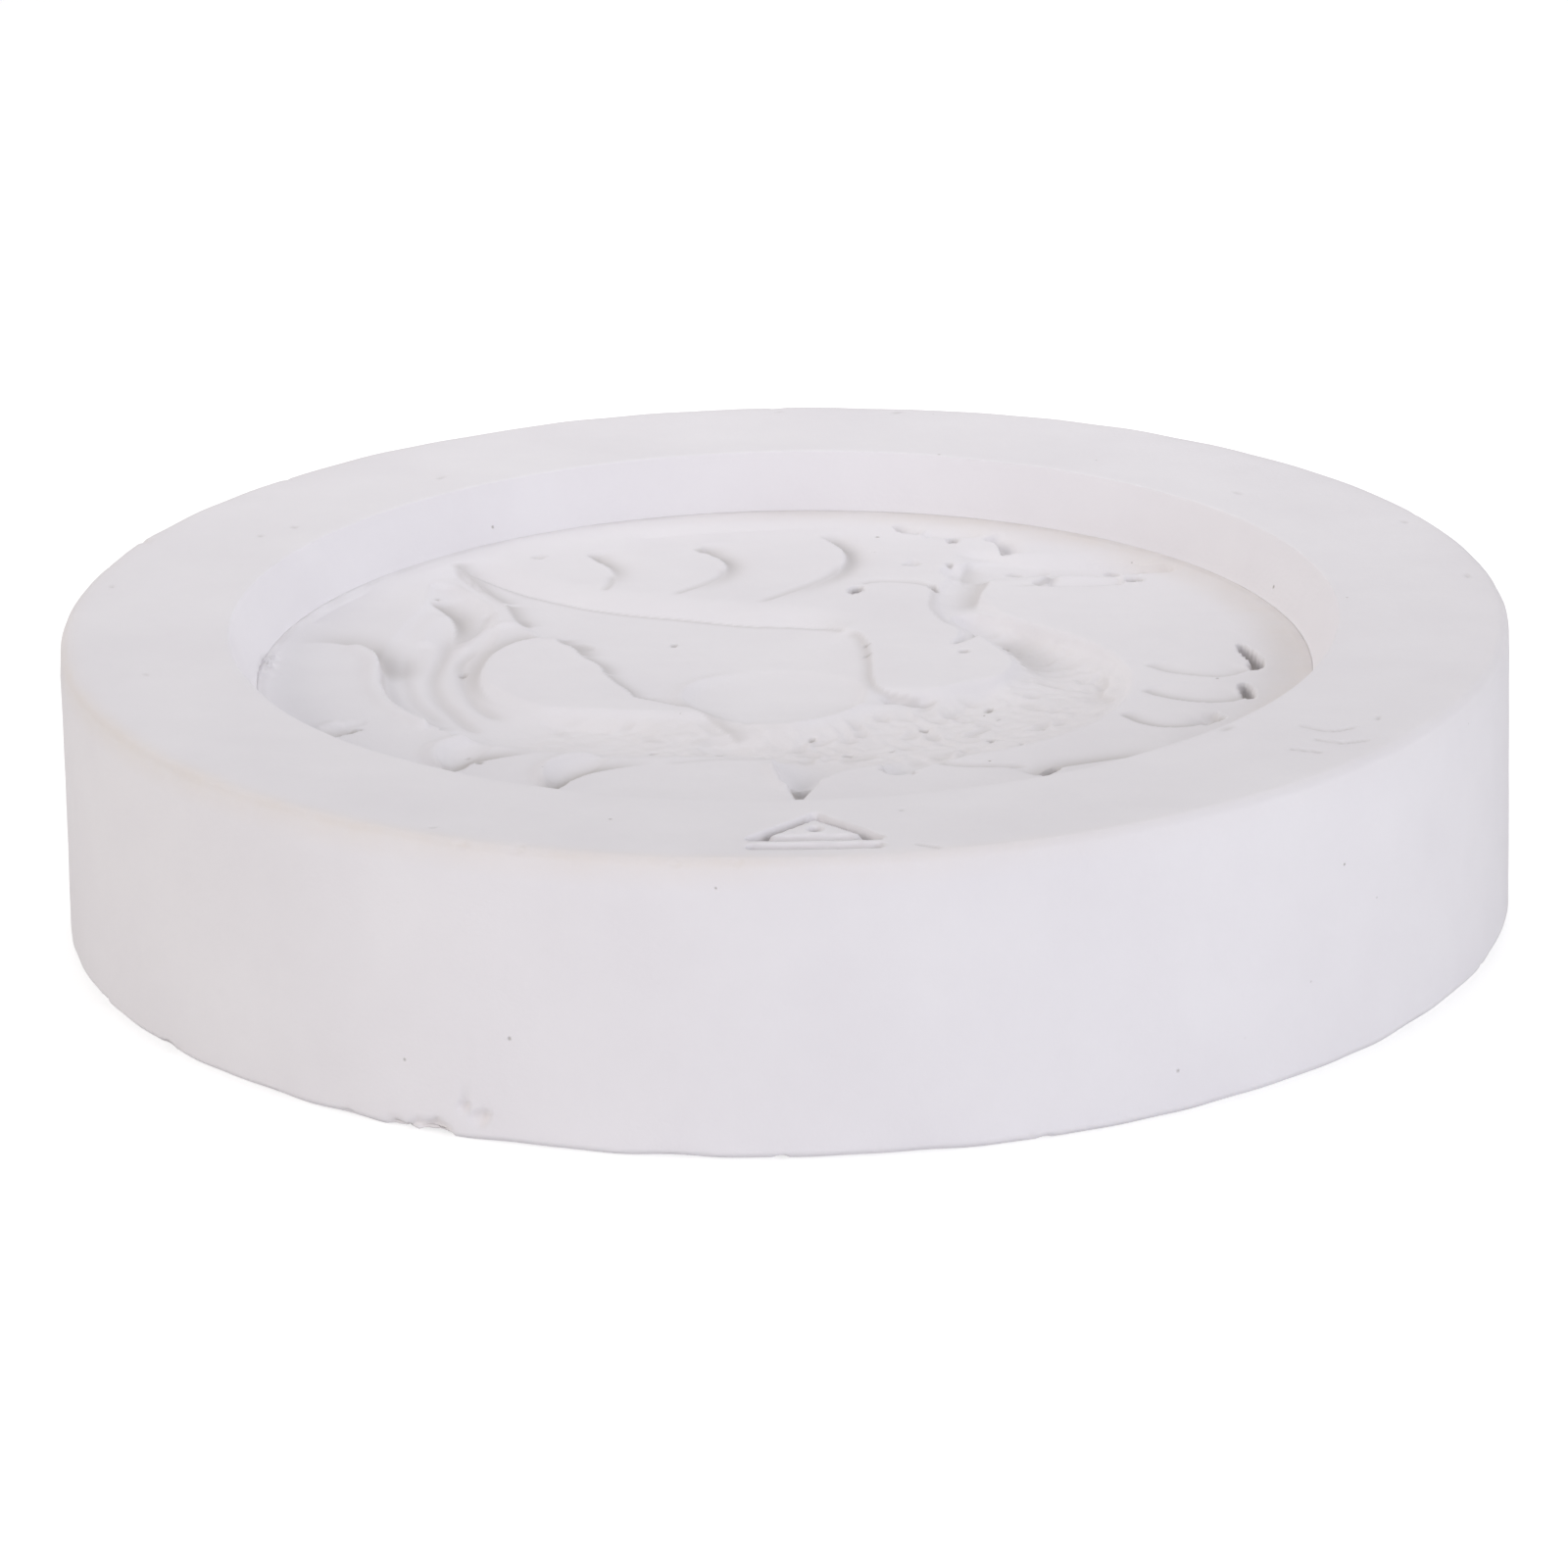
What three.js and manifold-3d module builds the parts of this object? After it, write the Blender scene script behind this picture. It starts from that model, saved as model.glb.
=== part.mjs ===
// A round plaster press mould: a case block with a shallow bevelled recess in its top, and a face plate
// with a sunk relief of a winged dragon, which is the floor of that recess.
// Millimetres, +Z up. The origin is the centre of the underside, and the rim's register mark is at -Y.
import * as THREE from "three";
import { mergeVertices } from "three/addons/utils/BufferGeometryUtils.js";
import Module from "manifold-3d";

const wasm = await Module();
wasm.setup();

// Driving dimensions
const blockRadius = 100;
const blockHeight = 41.5;
const topEdgeRound = 1.6;
const bottomEdgeBevel = 0.6;
const mouthRadius = 76.2;
const mouthEdgeRound = 0.5;
const floorRadius = 72.8;
const recessDepth = 8;
const plateThickness = 14;
const seatTaper = 1.2;
const seatGap = 0.3;

// Relief depths below the recess floor
const farWingDepth = 0.9;
const farRibDepth = 2.2;
const nearWingDepth = 1.9;
const bodyDepth = 2.4;
const haunchDepth = 3;
const tailDepth = 1.8;
const footDepth = 1.6;
const headDepth = 2;
const clawDepth = 3.6;

// The register mark cut in the rim
const markCentre = { x: 3.5, y: -87 };
const markHalfWidth = 9;
const markHeight = 11;
const markStroke = 2;
const markDepth = 1.8;
const markBarDrop = 3.2;
const pipRadius = 1.2;

// Fineness of the round stretches
const aroundSteps = 96;
const arcSteps = 4;
const curveSteps = 5;

const floorHeight = blockHeight - recessDepth;
const seatHeight = floorHeight - plateThickness;
const cutterHeadroom = 2;

const plaster = (name) => {
  const material = new THREE.MeshStandardMaterial({ color: 0xdedbe0, roughness: 0.95, metalness: 0 });
  material.name = name;
  return material;
};

// Solids

// The manifold solid of a closed geometry.
function solidOf(geometry) {
  const bare = new THREE.BufferGeometry().setAttribute("position", geometry.getAttribute("position"));
  if (geometry.index) bare.setIndex(geometry.index);
  const merged = mergeVertices(bare, 1e-4);
  const corners = merged.index.array;
  const kept = [];
  for (let i = 0; i < corners.length; i += 3) {
    const [a, b, c] = corners.slice(i, i + 3);
    if (a !== b && b !== c && c !== a) kept.push(a, b, c);
  }
  return new wasm.Manifold(
    new wasm.Mesh({
      numProp: 3,
      vertProperties: merged.attributes.position.array,
      triVerts: new Uint32Array(kept),
    }),
  );
}

// The geometry of a manifold solid.
function geometryOf(solid) {
  const mesh = solid.getMesh();
  const geometry = new THREE.BufferGeometry();
  geometry.setAttribute("position", new THREE.BufferAttribute(mesh.vertProperties, 3));
  geometry.setIndex(new THREE.BufferAttribute(mesh.triVerts, 1));
  geometry.computeVertexNormals();
  return geometry;
}

// A solid turned from a profile of [radius, height] points that starts and ends on the Z axis.
function turned(profile) {
  const points = profile.map(([radius, height]) => new THREE.Vector2(radius, height));
  return solidOf(new THREE.LatheGeometry(points, aroundSteps).rotateX(Math.PI / 2));
}

// The points of a quarter arc about a centre, from one angle to another, in degrees.
function arc(centreRadius, centreHeight, radius, fromDegrees, toDegrees) {
  return Array.from({ length: arcSteps + 1 }, (_, i) => {
    const angle = THREE.MathUtils.degToRad(fromDegrees + ((toDegrees - fromDegrees) * i) / arcSteps);
    return [centreRadius + radius * Math.cos(angle), centreHeight + radius * Math.sin(angle)];
  });
}

// A cutter that sinks a shape to a depth below a level.
function sunk(shape, level, depth) {
  const options = { depth: depth + cutterHeadroom, bevelEnabled: false, curveSegments: curveSteps };
  return solidOf(new THREE.ExtrudeGeometry(shape, options).translate(0, 0, level - depth));
}

// Outlines

// A closed outline of stretches that meet at corners; a stretch of three or more points is a smooth curve.
function outline(stretches) {
  const points = [];
  for (const stretch of stretches) {
    const ends = stretch.map(([x, y]) => new THREE.Vector2(x, y));
    const steps = ends.length > 2 ? (ends.length - 1) * curveSteps : 1;
    points.push(...new THREE.SplineCurve(ends).getPoints(steps).slice(0, -1));
  }
  return new THREE.Shape(points);
}

// A ribbon along a smooth path of [x, y, halfWidth] points.
function ribbon(path) {
  const middle = new THREE.SplineCurve(path.map(([x, y]) => new THREE.Vector2(x, y)));
  const widths = new THREE.SplineCurve(path.map((point, i) => new THREE.Vector2(i, point[2])));
  const steps = (path.length - 1) * curveSteps;
  const side = (sign) =>
    Array.from({ length: steps + 1 }, (_, i) => {
      const at = middle.getPoint(i / steps);
      const ahead = middle.getTangent(i / steps);
      const reach = sign * widths.getPoint(i / steps).y;
      return new THREE.Vector2(at.x - ahead.y * reach, at.y + ahead.x * reach);
    });
  return new THREE.Shape([...side(1), ...side(-1).reverse()]);
}

// A round spot.
function spot(x, y, radius) {
  return new THREE.Shape().absarc(x, y, radius, 0, 2 * Math.PI);
}

// The sunk relief

const farWing = outline([
  [[-44, 49], [-36, 54], [-27, 58]],
  [[-27, 58], [-20, 57], [-12, 61]],
  [[-12, 61], [-3, 60], [7, 63]],
  [[7, 63], [13, 52], [14, 40], [9, 12]],
  [[9, 12], [-12, 20], [-30, 30]],
  [[-30, 30], [-44, 49]],
]);

const nearWing = outline([
  [[-47, 50], [-35, 38], [-15, 28], [4, 21], [10, 17]],
  [[10, 17], [12, 5], [14, -9]],
  [[14, -9], [2, -18], [-7, -25]],
  [[-7, -25], [-16, -15], [-19, -9]],
  [[-19, -9], [-23, -1], [-25, 5]],
  [[-25, 5], [-30, 10], [-32, 17]],
  [[-32, 17], [-37, 24], [-39, 33]],
  [[-39, 33], [-43, 41], [-47, 50]],
]);

const body = ribbon([
  [27, 34, 3.5],
  [31, 21, 4.5],
  [38, 7, 6],
  [39, -9, 8],
  [30, -22, 9.5],
  [15, -29, 9.5],
  [-3, -30, 7],
  [-20, -28, 7],
  [-33, -24, 8],
]);

const tailStrands = [
  [[-30, -22, 6], [-41, -11, 5], [-46, 2, 4.5], [-43, 14, 4], [-40, 25, 2.5], [-42, 34, 1]],
  [[-36, -25, 6], [-49, -12, 4], [-53, 2, 4.5], [-50, 17, 4.5], [-49, 28, 3], [-52, 37, 1]],
  [[-47, -17, 3], [-55, -4, 3], [-58, 7, 2.5], [-62, 14, 2], [-68, 17, 0.8]],
];

const farRibs = [
  [[-28, 54, 0.8], [-24, 49, 1.6], [-23, 42, 1.2], [-25, 35, 0.5]],
  [[-12, 57, 0.8], [-8, 51, 1.7], [-8, 44, 1.2], [-16, 34, 0.5]],
  [[6, 60, 0.8], [9, 54, 1.9], [7, 44, 1.4], [-3, 31, 0.5]],
];

const head = outline([
  [[22, 33], [20, 42], [24, 49], [33, 51], [45, 48], [54, 46]],
  [[54, 46], [55, 42], [50, 39]],
  [[50, 39], [42, 41], [36, 39]],
  [[36, 39], [33, 36], [31, 31]],
  [[31, 31], [22, 33]],
]);

const horns = [
  [[25, 48, 2], [20, 55, 1.6], [15, 64, 0.6]],
  [[32, 50, 1.8], [31, 56, 1.4], [28, 61, 0.5]],
];

const forePaw = outline([
  [[40, -8], [46, -4], [51, 2]],
  [[51, 2], [54, -10], [49, -25]],
  [[49, -25], [43, -23], [38, -20], [40, -8]],
]);
const foreToes = [
  [[48, 0, 2], [56, -4, 3.4], [63, -3, 2.2], [64, 5, 0.6]],
  [[48, -11, 2], [55, -14, 3.2], [61, -14, 2.2], [63, -9, 0.6]],
  [[45, -20, 2], [50, -24, 3], [55, -25, 2.2], [58, -20, 0.6]],
];
const rearLimb = [[8, -33, 7], [2, -41, 4.5], [1.5, -47, 2.6]];
const rearToes = [
  [[-36, -28, 4], [-44, -31, 3.4], [-47, -38, 1]],
  [[-22, -31, 4], [-29, -38, 3.2], [-32, -46, 1]],
  [[-58, -17, 1.4], [-61, -20, 1.8], [-62, -24, 0.6]],
];
const lowerLimb = [[17, -37, 3], [26, -41, 1.6], [36, -43, 1.6], [47, -38, 0.6]];

const claws = [
  outline([[[63, 1], [66, 7]], [[66, 7], [66.5, 2], [64, -2]], [[64, -2], [63, 1]]]),
  outline([[[61, -13], [64, -9]], [[64, -9], [64.5, -13], [62, -16]], [[62, -16], [61, -13]]]),
  outline([[[56, -24], [59, -20]], [[59, -20], [59, -24], [57, -26]], [[57, -26], [56, -24]]]),
  outline([[[-1, -46], [3.6, -46]], [[3.6, -46], [1.4, -54]], [[1.4, -54], [-1, -46]]]),
  outline([[[33, -44], [37, -42]], [[37, -42], [36, -46]], [[36, -46], [33, -44]]]),
];

const reliefSinks = [
  [farWing, farWingDepth],
  [nearWing, nearWingDepth],
  [body, bodyDepth],
  [spot(-1.5, -8, 12), haunchDepth],
  [head, headDepth],
  [spot(10, 36, 1.3), clawDepth],
  [forePaw, footDepth],
  [ribbon(rearLimb), bodyDepth],
  [ribbon(lowerLimb), footDepth],
  ...tailStrands.map((path) => [ribbon(path), tailDepth]),
  ...farRibs.map((path) => [ribbon(path), farRibDepth]),
  ...horns.map((path) => [ribbon(path), footDepth]),
  ...foreToes.map((path) => [ribbon(path), footDepth]),
  ...rearToes.map((path) => [ribbon(path), footDepth]),
  ...claws.map((shape) => [shape, clawDepth]),
];

// Pieces

// The block: flat underside, upright side, flat rim, bevelled recess wall and the tapered seat of the plate.
function caseBlock() {
  const round = topEdgeRound;
  const lip = mouthEdgeRound;
  const blank = turned([
    [0, 0],
    [blockRadius - bottomEdgeBevel, 0],
    [blockRadius, bottomEdgeBevel],
    ...arc(blockRadius - round, blockHeight - round, round, 0, 90),
    ...arc(mouthRadius + lip, blockHeight - lip, lip, 90, 157),
    [floorRadius, floorHeight],
    [floorRadius - seatTaper, seatHeight],
    [0, seatHeight],
  ]);
  const { x, y } = markCentre;
  const triangle = (halfWidth, base, tip) => [
    new THREE.Vector2(x - halfWidth, base),
    new THREE.Vector2(x + halfWidth, base),
    new THREE.Vector2(x, tip),
  ];
  const arrow = new THREE.Shape(triangle(markHalfWidth, y - markHeight / 2, y + markHeight / 2));
  const inset = markHalfWidth - 2 * markStroke;
  const baseInset = y - markHeight / 2 + markStroke;
  arrow.holes.push(new THREE.Path(triangle(inset, baseInset, baseInset + (inset / markHalfWidth) * markHeight)));
  const barTop = y - markHeight / 2 - markBarDrop + markStroke;
  const bar = outline([
    [[x - markHalfWidth, barTop - markStroke], [x + markHalfWidth, barTop - markStroke]],
    [[x + markHalfWidth, barTop - markStroke], [x + markHalfWidth, barTop]],
    [[x + markHalfWidth, barTop], [x - markHalfWidth, barTop]],
    [[x - markHalfWidth, barTop], [x - markHalfWidth, barTop - markStroke]],
  ]);
  const pip = spot(x, y - markHeight / 2 + 2 * markStroke, pipRadius);
  return [arrow, bar, pip].reduce((rest, shape) => rest.subtract(sunk(shape, blockHeight, markDepth)), blank);
}

// The plate: a tapered disc with the relief sunk in its upper face.
function facePlate() {
  const topRadius = floorRadius - seatGap;
  const bottom = seatHeight + seatGap;
  const blank = turned([
    [0, bottom],
    [topRadius - seatTaper, bottom],
    [topRadius, floorHeight],
    [0, floorHeight],
  ]);
  const cutters = reliefSinks.map(([shape, depth]) => sunk(shape, floorHeight, depth));
  return blank.subtract(cutters.reduce((all, cutter) => all.add(cutter)));
}

const mould = new THREE.Group();
const pieces = { case_block: caseBlock(), face_plate: facePlate() };
for (const [name, solid] of Object.entries(pieces)) {
  const mesh = new THREE.Mesh(geometryOf(solid), plaster(`${name}_plaster`));
  mesh.name = name;
  mould.add(mesh);
}

export default mould;
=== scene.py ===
"""Looks of a round plaster press mould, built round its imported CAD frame.

The mould is two bodies of cast gypsum plaster: a case block with a bevelled recess, and the face plate that
is the recess's floor, with a winged dragon sunk in it. Both are surfaces worked out with numpy on grids of
two parameters. Blender units are metres; the drawing of the relief is in millimetres.
"""

import logging
import math
from dataclasses import dataclass, field
from enum import Enum
from typing import Callable, Sequence

import bpy
import numpy as np
from mathutils import Matrix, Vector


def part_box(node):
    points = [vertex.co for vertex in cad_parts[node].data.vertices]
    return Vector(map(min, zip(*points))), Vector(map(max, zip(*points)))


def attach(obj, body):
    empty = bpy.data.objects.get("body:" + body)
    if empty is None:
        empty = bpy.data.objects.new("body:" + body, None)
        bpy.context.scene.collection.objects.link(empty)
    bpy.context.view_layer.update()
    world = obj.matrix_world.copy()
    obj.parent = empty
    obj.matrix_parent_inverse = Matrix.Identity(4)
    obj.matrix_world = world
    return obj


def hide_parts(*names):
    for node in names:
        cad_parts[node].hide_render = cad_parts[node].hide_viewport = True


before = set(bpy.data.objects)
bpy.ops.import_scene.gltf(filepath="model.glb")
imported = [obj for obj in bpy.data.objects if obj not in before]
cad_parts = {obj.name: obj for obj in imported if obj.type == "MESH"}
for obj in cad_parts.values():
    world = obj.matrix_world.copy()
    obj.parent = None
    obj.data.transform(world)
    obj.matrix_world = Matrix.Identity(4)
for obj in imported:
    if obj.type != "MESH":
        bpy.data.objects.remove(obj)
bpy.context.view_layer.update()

MM = 0.001
SEAT_GAP_MM = 0.3  # between the CAD plate and its seat
PLATE_LAP_MM = 0.45  # the drawn plate laps past that gap into the wall, so the joint is a crease, not a slot
BODY = "root"
SEED = 7

Knots = Sequence[Sequence[float]]
log = logging.getLogger("press_mould")


# ------------------------------------------------------------------ numbers


def smoothstep(low: float, high: float, value: np.ndarray) -> np.ndarray:
    """A smooth rise from 0 to 1: 3u^2 - 2u^3, where u is value's place between low and high.

    Args:
        low: Where the rise starts.
        high: Where the rise ends.
        value: What is read.

    Returns:
        The rise at each value.
    """
    share = np.clip((value - low) / (high - low), 0.0, 1.0)
    return share * share * (3.0 - 2.0 * share)


def mixed(first: np.ndarray, second: np.ndarray, share: np.ndarray) -> np.ndarray:
    """First and second, mixed by a share of the second.

    Args:
        first: The values at a share of 0.
        second: The values at a share of 1.
        share: From 0 to 1.

    Returns:
        first + (second - first) * share.
    """
    return first + (second - first) * share


def unrest(points: np.ndarray, size: float, seed: int, waves: int = 14) -> np.ndarray:
    """Soft random unevenness: the mean of plane waves in random directions, brought to a spread of about 1.

    Args:
        points: Points, one a row, in mm.
        size: The waves' typical length in mm.
        seed: What the waves are drawn from.
        waves: How many there are.

    Returns:
        A value for each point, mostly between -1 and 1.
    """
    rng = np.random.default_rng(seed)
    ways = rng.normal(size=(waves, points.shape[1]))
    ways /= np.linalg.norm(ways, axis=1, keepdims=True)
    rates = 2.0 * math.pi / (size * rng.uniform(0.6, 1.7, waves))
    phases = rng.uniform(0.0, 2.0 * math.pi, waves)
    total = np.zeros(len(points))
    for way, rate, phase in zip(ways, rates, phases):
        total += np.sin(points @ way * rate + phase)
    return total / math.sqrt(waves / 2.0) / 1.6


# ------------------------------------------------------------------ lines in the plane


@dataclass(frozen=True)
class Reading:
    """Where points lie beside a line.

    Attributes:
        along: The nearest place on the line, from 0 at its start to 1 at its end.
        side: The distance to the line in mm, positive on its left.
        half: The line's half width at the nearest place, in mm, or 0 if it has none.
        length: The line's length in mm.
    """

    along: np.ndarray
    side: np.ndarray
    half: np.ndarray
    length: float


def flowing(knots: Knots, steps: int = 8) -> np.ndarray:
    """A smooth line through knots of (x, y) or (x, y, half width).

    It is a Catmull-Rom curve: between knots b and c, whose neighbours are a and d, with u from 0 to 1, it is
    half of 2b + (c - a)u + (2a - 5b + 4c - d)u^2 + (3b - a - 3c + d)u^3.

    Args:
        knots: The knots, in mm.
        steps: Straight pieces between two knots.

    Returns:
        The line's points, one a row.
    """
    through = np.asarray(knots, float)
    if len(through) == 2:
        return through
    ends = np.vstack([2 * through[0] - through[1], through, 2 * through[-1] - through[-2]])
    a, b, c, d = (ends[i : len(ends) - 3 + i, None, :] for i in range(4))
    u = np.linspace(0.0, 1.0, steps, endpoint=False)[None, :, None]
    line = 2 * b + (c - a) * u + (2 * a - 5 * b + 4 * c - d) * u**2 + (3 * b - a - 3 * c + d) * u**3
    return np.vstack([0.5 * line.reshape(-1, through.shape[1]), through[-1:]])


def loop_of(stretches: Sequence[Knots]) -> np.ndarray:
    """A closed outline of smooth stretches that meet at corners.

    Args:
        stretches: Each stretch's knots; the next one starts where it ends.

    Returns:
        The outline's points, the first one repeated at the end.
    """
    points = np.vstack([flowing(stretch)[:-1] for stretch in stretches])
    return np.vstack([points, points[:1]])


def beside(x: np.ndarray, y: np.ndarray, line: np.ndarray) -> Reading:
    """Reads where points lie beside a line, by the nearest point on each of its straight pieces.

    Args:
        x: The points' x in mm.
        y: The points' y in mm.
        line: The line's points, with a half width in a third column or without one.

    Returns:
        The reading.
    """
    starts, runs = line[:-1], np.diff(line, axis=0)
    sizes = np.maximum(np.hypot(runs[:, 0], runs[:, 1]), 1e-9)
    dx, dy = x[:, None] - starts[:, 0], y[:, None] - starts[:, 1]
    share = np.clip((dx * runs[:, 0] + dy * runs[:, 1]) / sizes**2, 0.0, 1.0)
    gap = np.hypot(dx - share * runs[:, 0], dy - share * runs[:, 1])
    best = gap.argmin(axis=1)
    rows = np.arange(len(x))
    share, gap = share[rows, best], gap[rows, best]
    turn = runs[best, 0] * dy[rows, best] - runs[best, 1] * dx[rows, best]
    before = np.cumsum(sizes) - sizes
    length = float(sizes.sum())
    half = starts[best, 2] + share * runs[best, 2] if line.shape[1] > 2 else np.zeros(len(x))
    return Reading((before[best] + share * sizes[best]) / length, np.where(turn < 0, -gap, gap), half, length)


def depth_inside(x: np.ndarray, y: np.ndarray, loop: np.ndarray) -> np.ndarray:
    """The distance from points to a closed outline, positive inside it.

    A point is inside if a line from it towards +X crosses the outline an odd number of times.

    Args:
        x: The points' x in mm.
        y: The points' y in mm.
        loop: The outline's points, the first one repeated at the end.

    Returns:
        The distance in mm.
    """
    x0, y0, x1, y1 = loop[:-1, 0], loop[:-1, 1], loop[1:, 0], loop[1:, 1]
    level = y[:, None]
    spans = (y0 > level) != (y1 > level)
    rise = np.where(y1 == y0, 1e-9, y1 - y0)
    crossings = (spans & (x[:, None] < x0 + (level - y0) / rise * (x1 - x0))).sum(axis=1)
    gap = np.abs(beside(x, y, loop).side)
    return np.where(crossings % 2 == 1, gap, -gap)


# ------------------------------------------------------------------ the sunk relief


class Drop(Enum):
    """The side of a line on which the plaster is sunk, seen along the line."""

    LEFT = 1.0
    RIGHT = -1.0


class Relief:
    """A relief sunk in a flat floor, carved form by form, from the furthest form to the nearest.

    Attributes:
        x: The points' x in mm.
        y: The points' y in mm.
        depth: How far each point is sunk below the floor, in mm.
        worked: How far each point is inside a scaled form, from 0 to 1.
        painted_shade: The painted shade at each point, a grey that darkens creases, pits and hollows, from 0
            to 1.
    """

    def __init__(self, x: np.ndarray, y: np.ndarray) -> None:
        """Starts from a flat floor.

        Args:
            x: The points' x in mm.
            y: The points' y in mm.
        """
        self.x = x
        self.y = y
        self.depth = np.zeros(len(x))
        self.worked = np.zeros(len(x))
        # Painted shade: a grey share that darkens creases and hollows in place of their shade.
        self.painted_shade = np.zeros(len(x))

    def _around(self, line: np.ndarray, reach: float) -> np.ndarray:
        """The points within reach of a line's own box, as indices.

        Args:
            line: The line's points.
            reach: The margin round the box in mm.

        Returns:
            The indices.
        """
        low, high = line[:, :2].min(axis=0) - reach, line[:, :2].max(axis=0) + reach
        inside = (self.x > low[0]) & (self.x < high[0]) & (self.y > low[1]) & (self.y < high[1])
        return np.flatnonzero(inside)

    def _ends(self, read: Reading, fade: tuple[float, float]) -> np.ndarray:
        """How far a cut has come in from the ends of its line, from 0 to 1.

        Args:
            read: The points' reading beside the line.
            fade: The shares of the line over which the cut fades in and out.

        Returns:
            The share at each point.
        """
        return smoothstep(0.0, fade[0], read.along) * (1.0 - smoothstep(1.0 - fade[1], 1.0, read.along))

    def _paint_shade(self, at: np.ndarray, painted_shade: np.ndarray) -> None:
        """Paints shade at points, where it isn't darker yet.

        Args:
            at: The points' indices.
            painted_shade: The painted shade at each of them, from 0 to 1.
        """
        self.painted_shade[at] = np.maximum(self.painted_shade[at], painted_shade)

    def pool(
        self,
        stretches: Sequence[Knots],
        level: Callable[[np.ndarray, np.ndarray, np.ndarray], np.ndarray],
        crisp: float,
    ) -> None:
        """Sinks an outlined field to a level of its own, over whatever lies under it.

        Args:
            stretches: The outline, as loop_of takes it.
            level: The depth in mm, worked out from x, y and the distance inside the outline.
            crisp: The width of the wall at the field's edge, in mm.
        """
        loop = loop_of(stretches)
        at = self._around(loop, crisp)
        inner = depth_inside(self.x[at], self.y[at], loop)
        cover = smoothstep(-0.5 * crisp, 0.5 * crisp, inner)
        self.depth[at] = mixed(self.depth[at], level(self.x[at], self.y[at], inner), cover)
        self.painted_shade[at] *= 1.0 - cover

    def hollow(
        self, knots: Knots, edge: float, crown: float, crisp: float, full: float = 0.8, over: bool = False
    ) -> None:
        """Sinks a rounded limb: edge + (crown - edge) * (1 - r^2)^full, with r the share of its half width.

        Args:
            knots: (x, y, half width) along the limb's middle.
            edge: The depth at its edge in mm.
            crown: The depth at its middle in mm.
            crisp: The width of the wall at its edge in mm.
            full: 0.5 for a round section, 1 for a shallow one.
            over: Whether it covers what lies under it. If not, the deeper of the two stays.
        """
        line = flowing(knots)
        at = self._around(line, float(line[:, 2].max()) + crisp)
        read = beside(self.x[at], self.y[at], line)
        away = np.abs(read.side)
        share = np.clip(away / np.maximum(read.half, 0.05), 0.0, 1.0)
        sunk = edge + (crown - edge) * (1.0 - share**2) ** full
        cover = 1.0 - smoothstep(-0.5 * crisp, 0.5 * crisp, away - read.half)
        if over:
            self.depth[at] = mixed(self.depth[at], sunk, cover)
            self.painted_shade[at] *= 1.0 - cover
        else:
            self.depth[at] = np.maximum(self.depth[at], sunk * cover)

    def ledge(
        self,
        knots: Knots,
        drop: Drop,
        depth: float,
        run: float,
        reach: float,
        fade: tuple[float, float] = (0.2, 0.3),
        bank: float = 0.0,
        painted_shade: float = 0.3,
        spread: float = 1.2,
    ) -> None:
        """Cuts a step with a crisp upper edge on the line, that runs down softly and comes up again far off.

        It is depth * (1 - exp(-d / run)) * exp(-(d / reach)^2), with d the distance on the sunk side. Its
        crease is darkened by painted shade, painted_shade * (1 - exp(-d / 0.25)) * exp(-(d / spread)^2).

        Args:
            knots: (x, y) along the line.
            drop: The side that is sunk.
            depth: The step in mm.
            run: How far the step takes to go down, in mm.
            reach: How far off it comes up again, in mm.
            fade: The shares of the line over which the step fades in and out.
            bank: The height in mm of a rounded bank along the other side.
            painted_shade: The painted shade darkening its crease, from 0 to 1.
            spread: How far the painted shade spreads in mm.
        """
        line = flowing(knots)
        at = self._around(line, 2.2 * max(reach, spread))
        read = beside(self.x[at], self.y[at], line)
        side = read.side * drop.value
        down = np.maximum(side, 0.0)
        ends = self._ends(read, fade)
        cut = (1.0 - np.exp(-down / run)) * np.exp(-((down / reach) ** 2))
        heap = np.exp(-((side / np.where(side < 0.0, 1.9, 0.5)) ** 2))
        self.depth[at] += ends * (depth * cut - bank * heap)
        # Painted shade in the crease on the sunk side.
        self._paint_shade(at, painted_shade * ends * (1.0 - np.exp(-down / 0.25)) * np.exp(-((down / spread) ** 2)))

    def slope(
        self,
        knots: Knots,
        drop: Drop,
        depth: float,
        run: float,
        reach: float,
        fade: tuple[float, float] = (0.2, 0.3),
    ) -> None:
        """Cuts a slope that starts softly beside the line and has its crisp foot on it.

        It is depth * (1 - d / run)^1.5 on the high side, and depth * exp(-(d / reach)) on the sunk side.

        Args:
            knots: (x, y) along the line.
            drop: The side towards which the slope goes down.
            depth: The depth at the foot in mm.
            run: The slope's width in mm.
            reach: How far off the sunk side comes up again, in mm.
            fade: The shares of the line over which the slope fades in and out.
        """
        line = flowing(knots)
        at = self._around(line, max(run, 4.0 * reach))
        read = beside(self.x[at], self.y[at], line)
        side = read.side * drop.value
        high = np.clip(1.0 + np.minimum(side, 0.0) / run, 0.0, 1.0) ** 1.5
        low = np.exp(-np.maximum(side, 0.0) / reach)
        self.depth[at] += depth * self._ends(read, fade) * np.where(side < 0.0, high, low)

    def score(self, knots: Knots, depth: float, width: float, painted_shade: float = 0.0) -> None:
        """Scores a fine line: depth * exp(-(distance / half width)^2), fading at both ends.

        Args:
            knots: (x, y) along the line.
            depth: The line's depth in mm, or minus its height where it stands proud.
            width: The line's width in mm.
            painted_shade: The painted shade darkening it, from 0 to 1.
        """
        line = flowing(knots)
        at = self._around(line, 2.0 * width)
        read = beside(self.x[at], self.y[at], line)
        round_cut = self._ends(read, (0.15, 0.15)) * np.exp(-((2.0 * read.side / width) ** 2))
        self.depth[at] += depth * round_cut
        # Painted shade along the scored line.
        self._paint_shade(at, painted_shade * round_cut)

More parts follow.
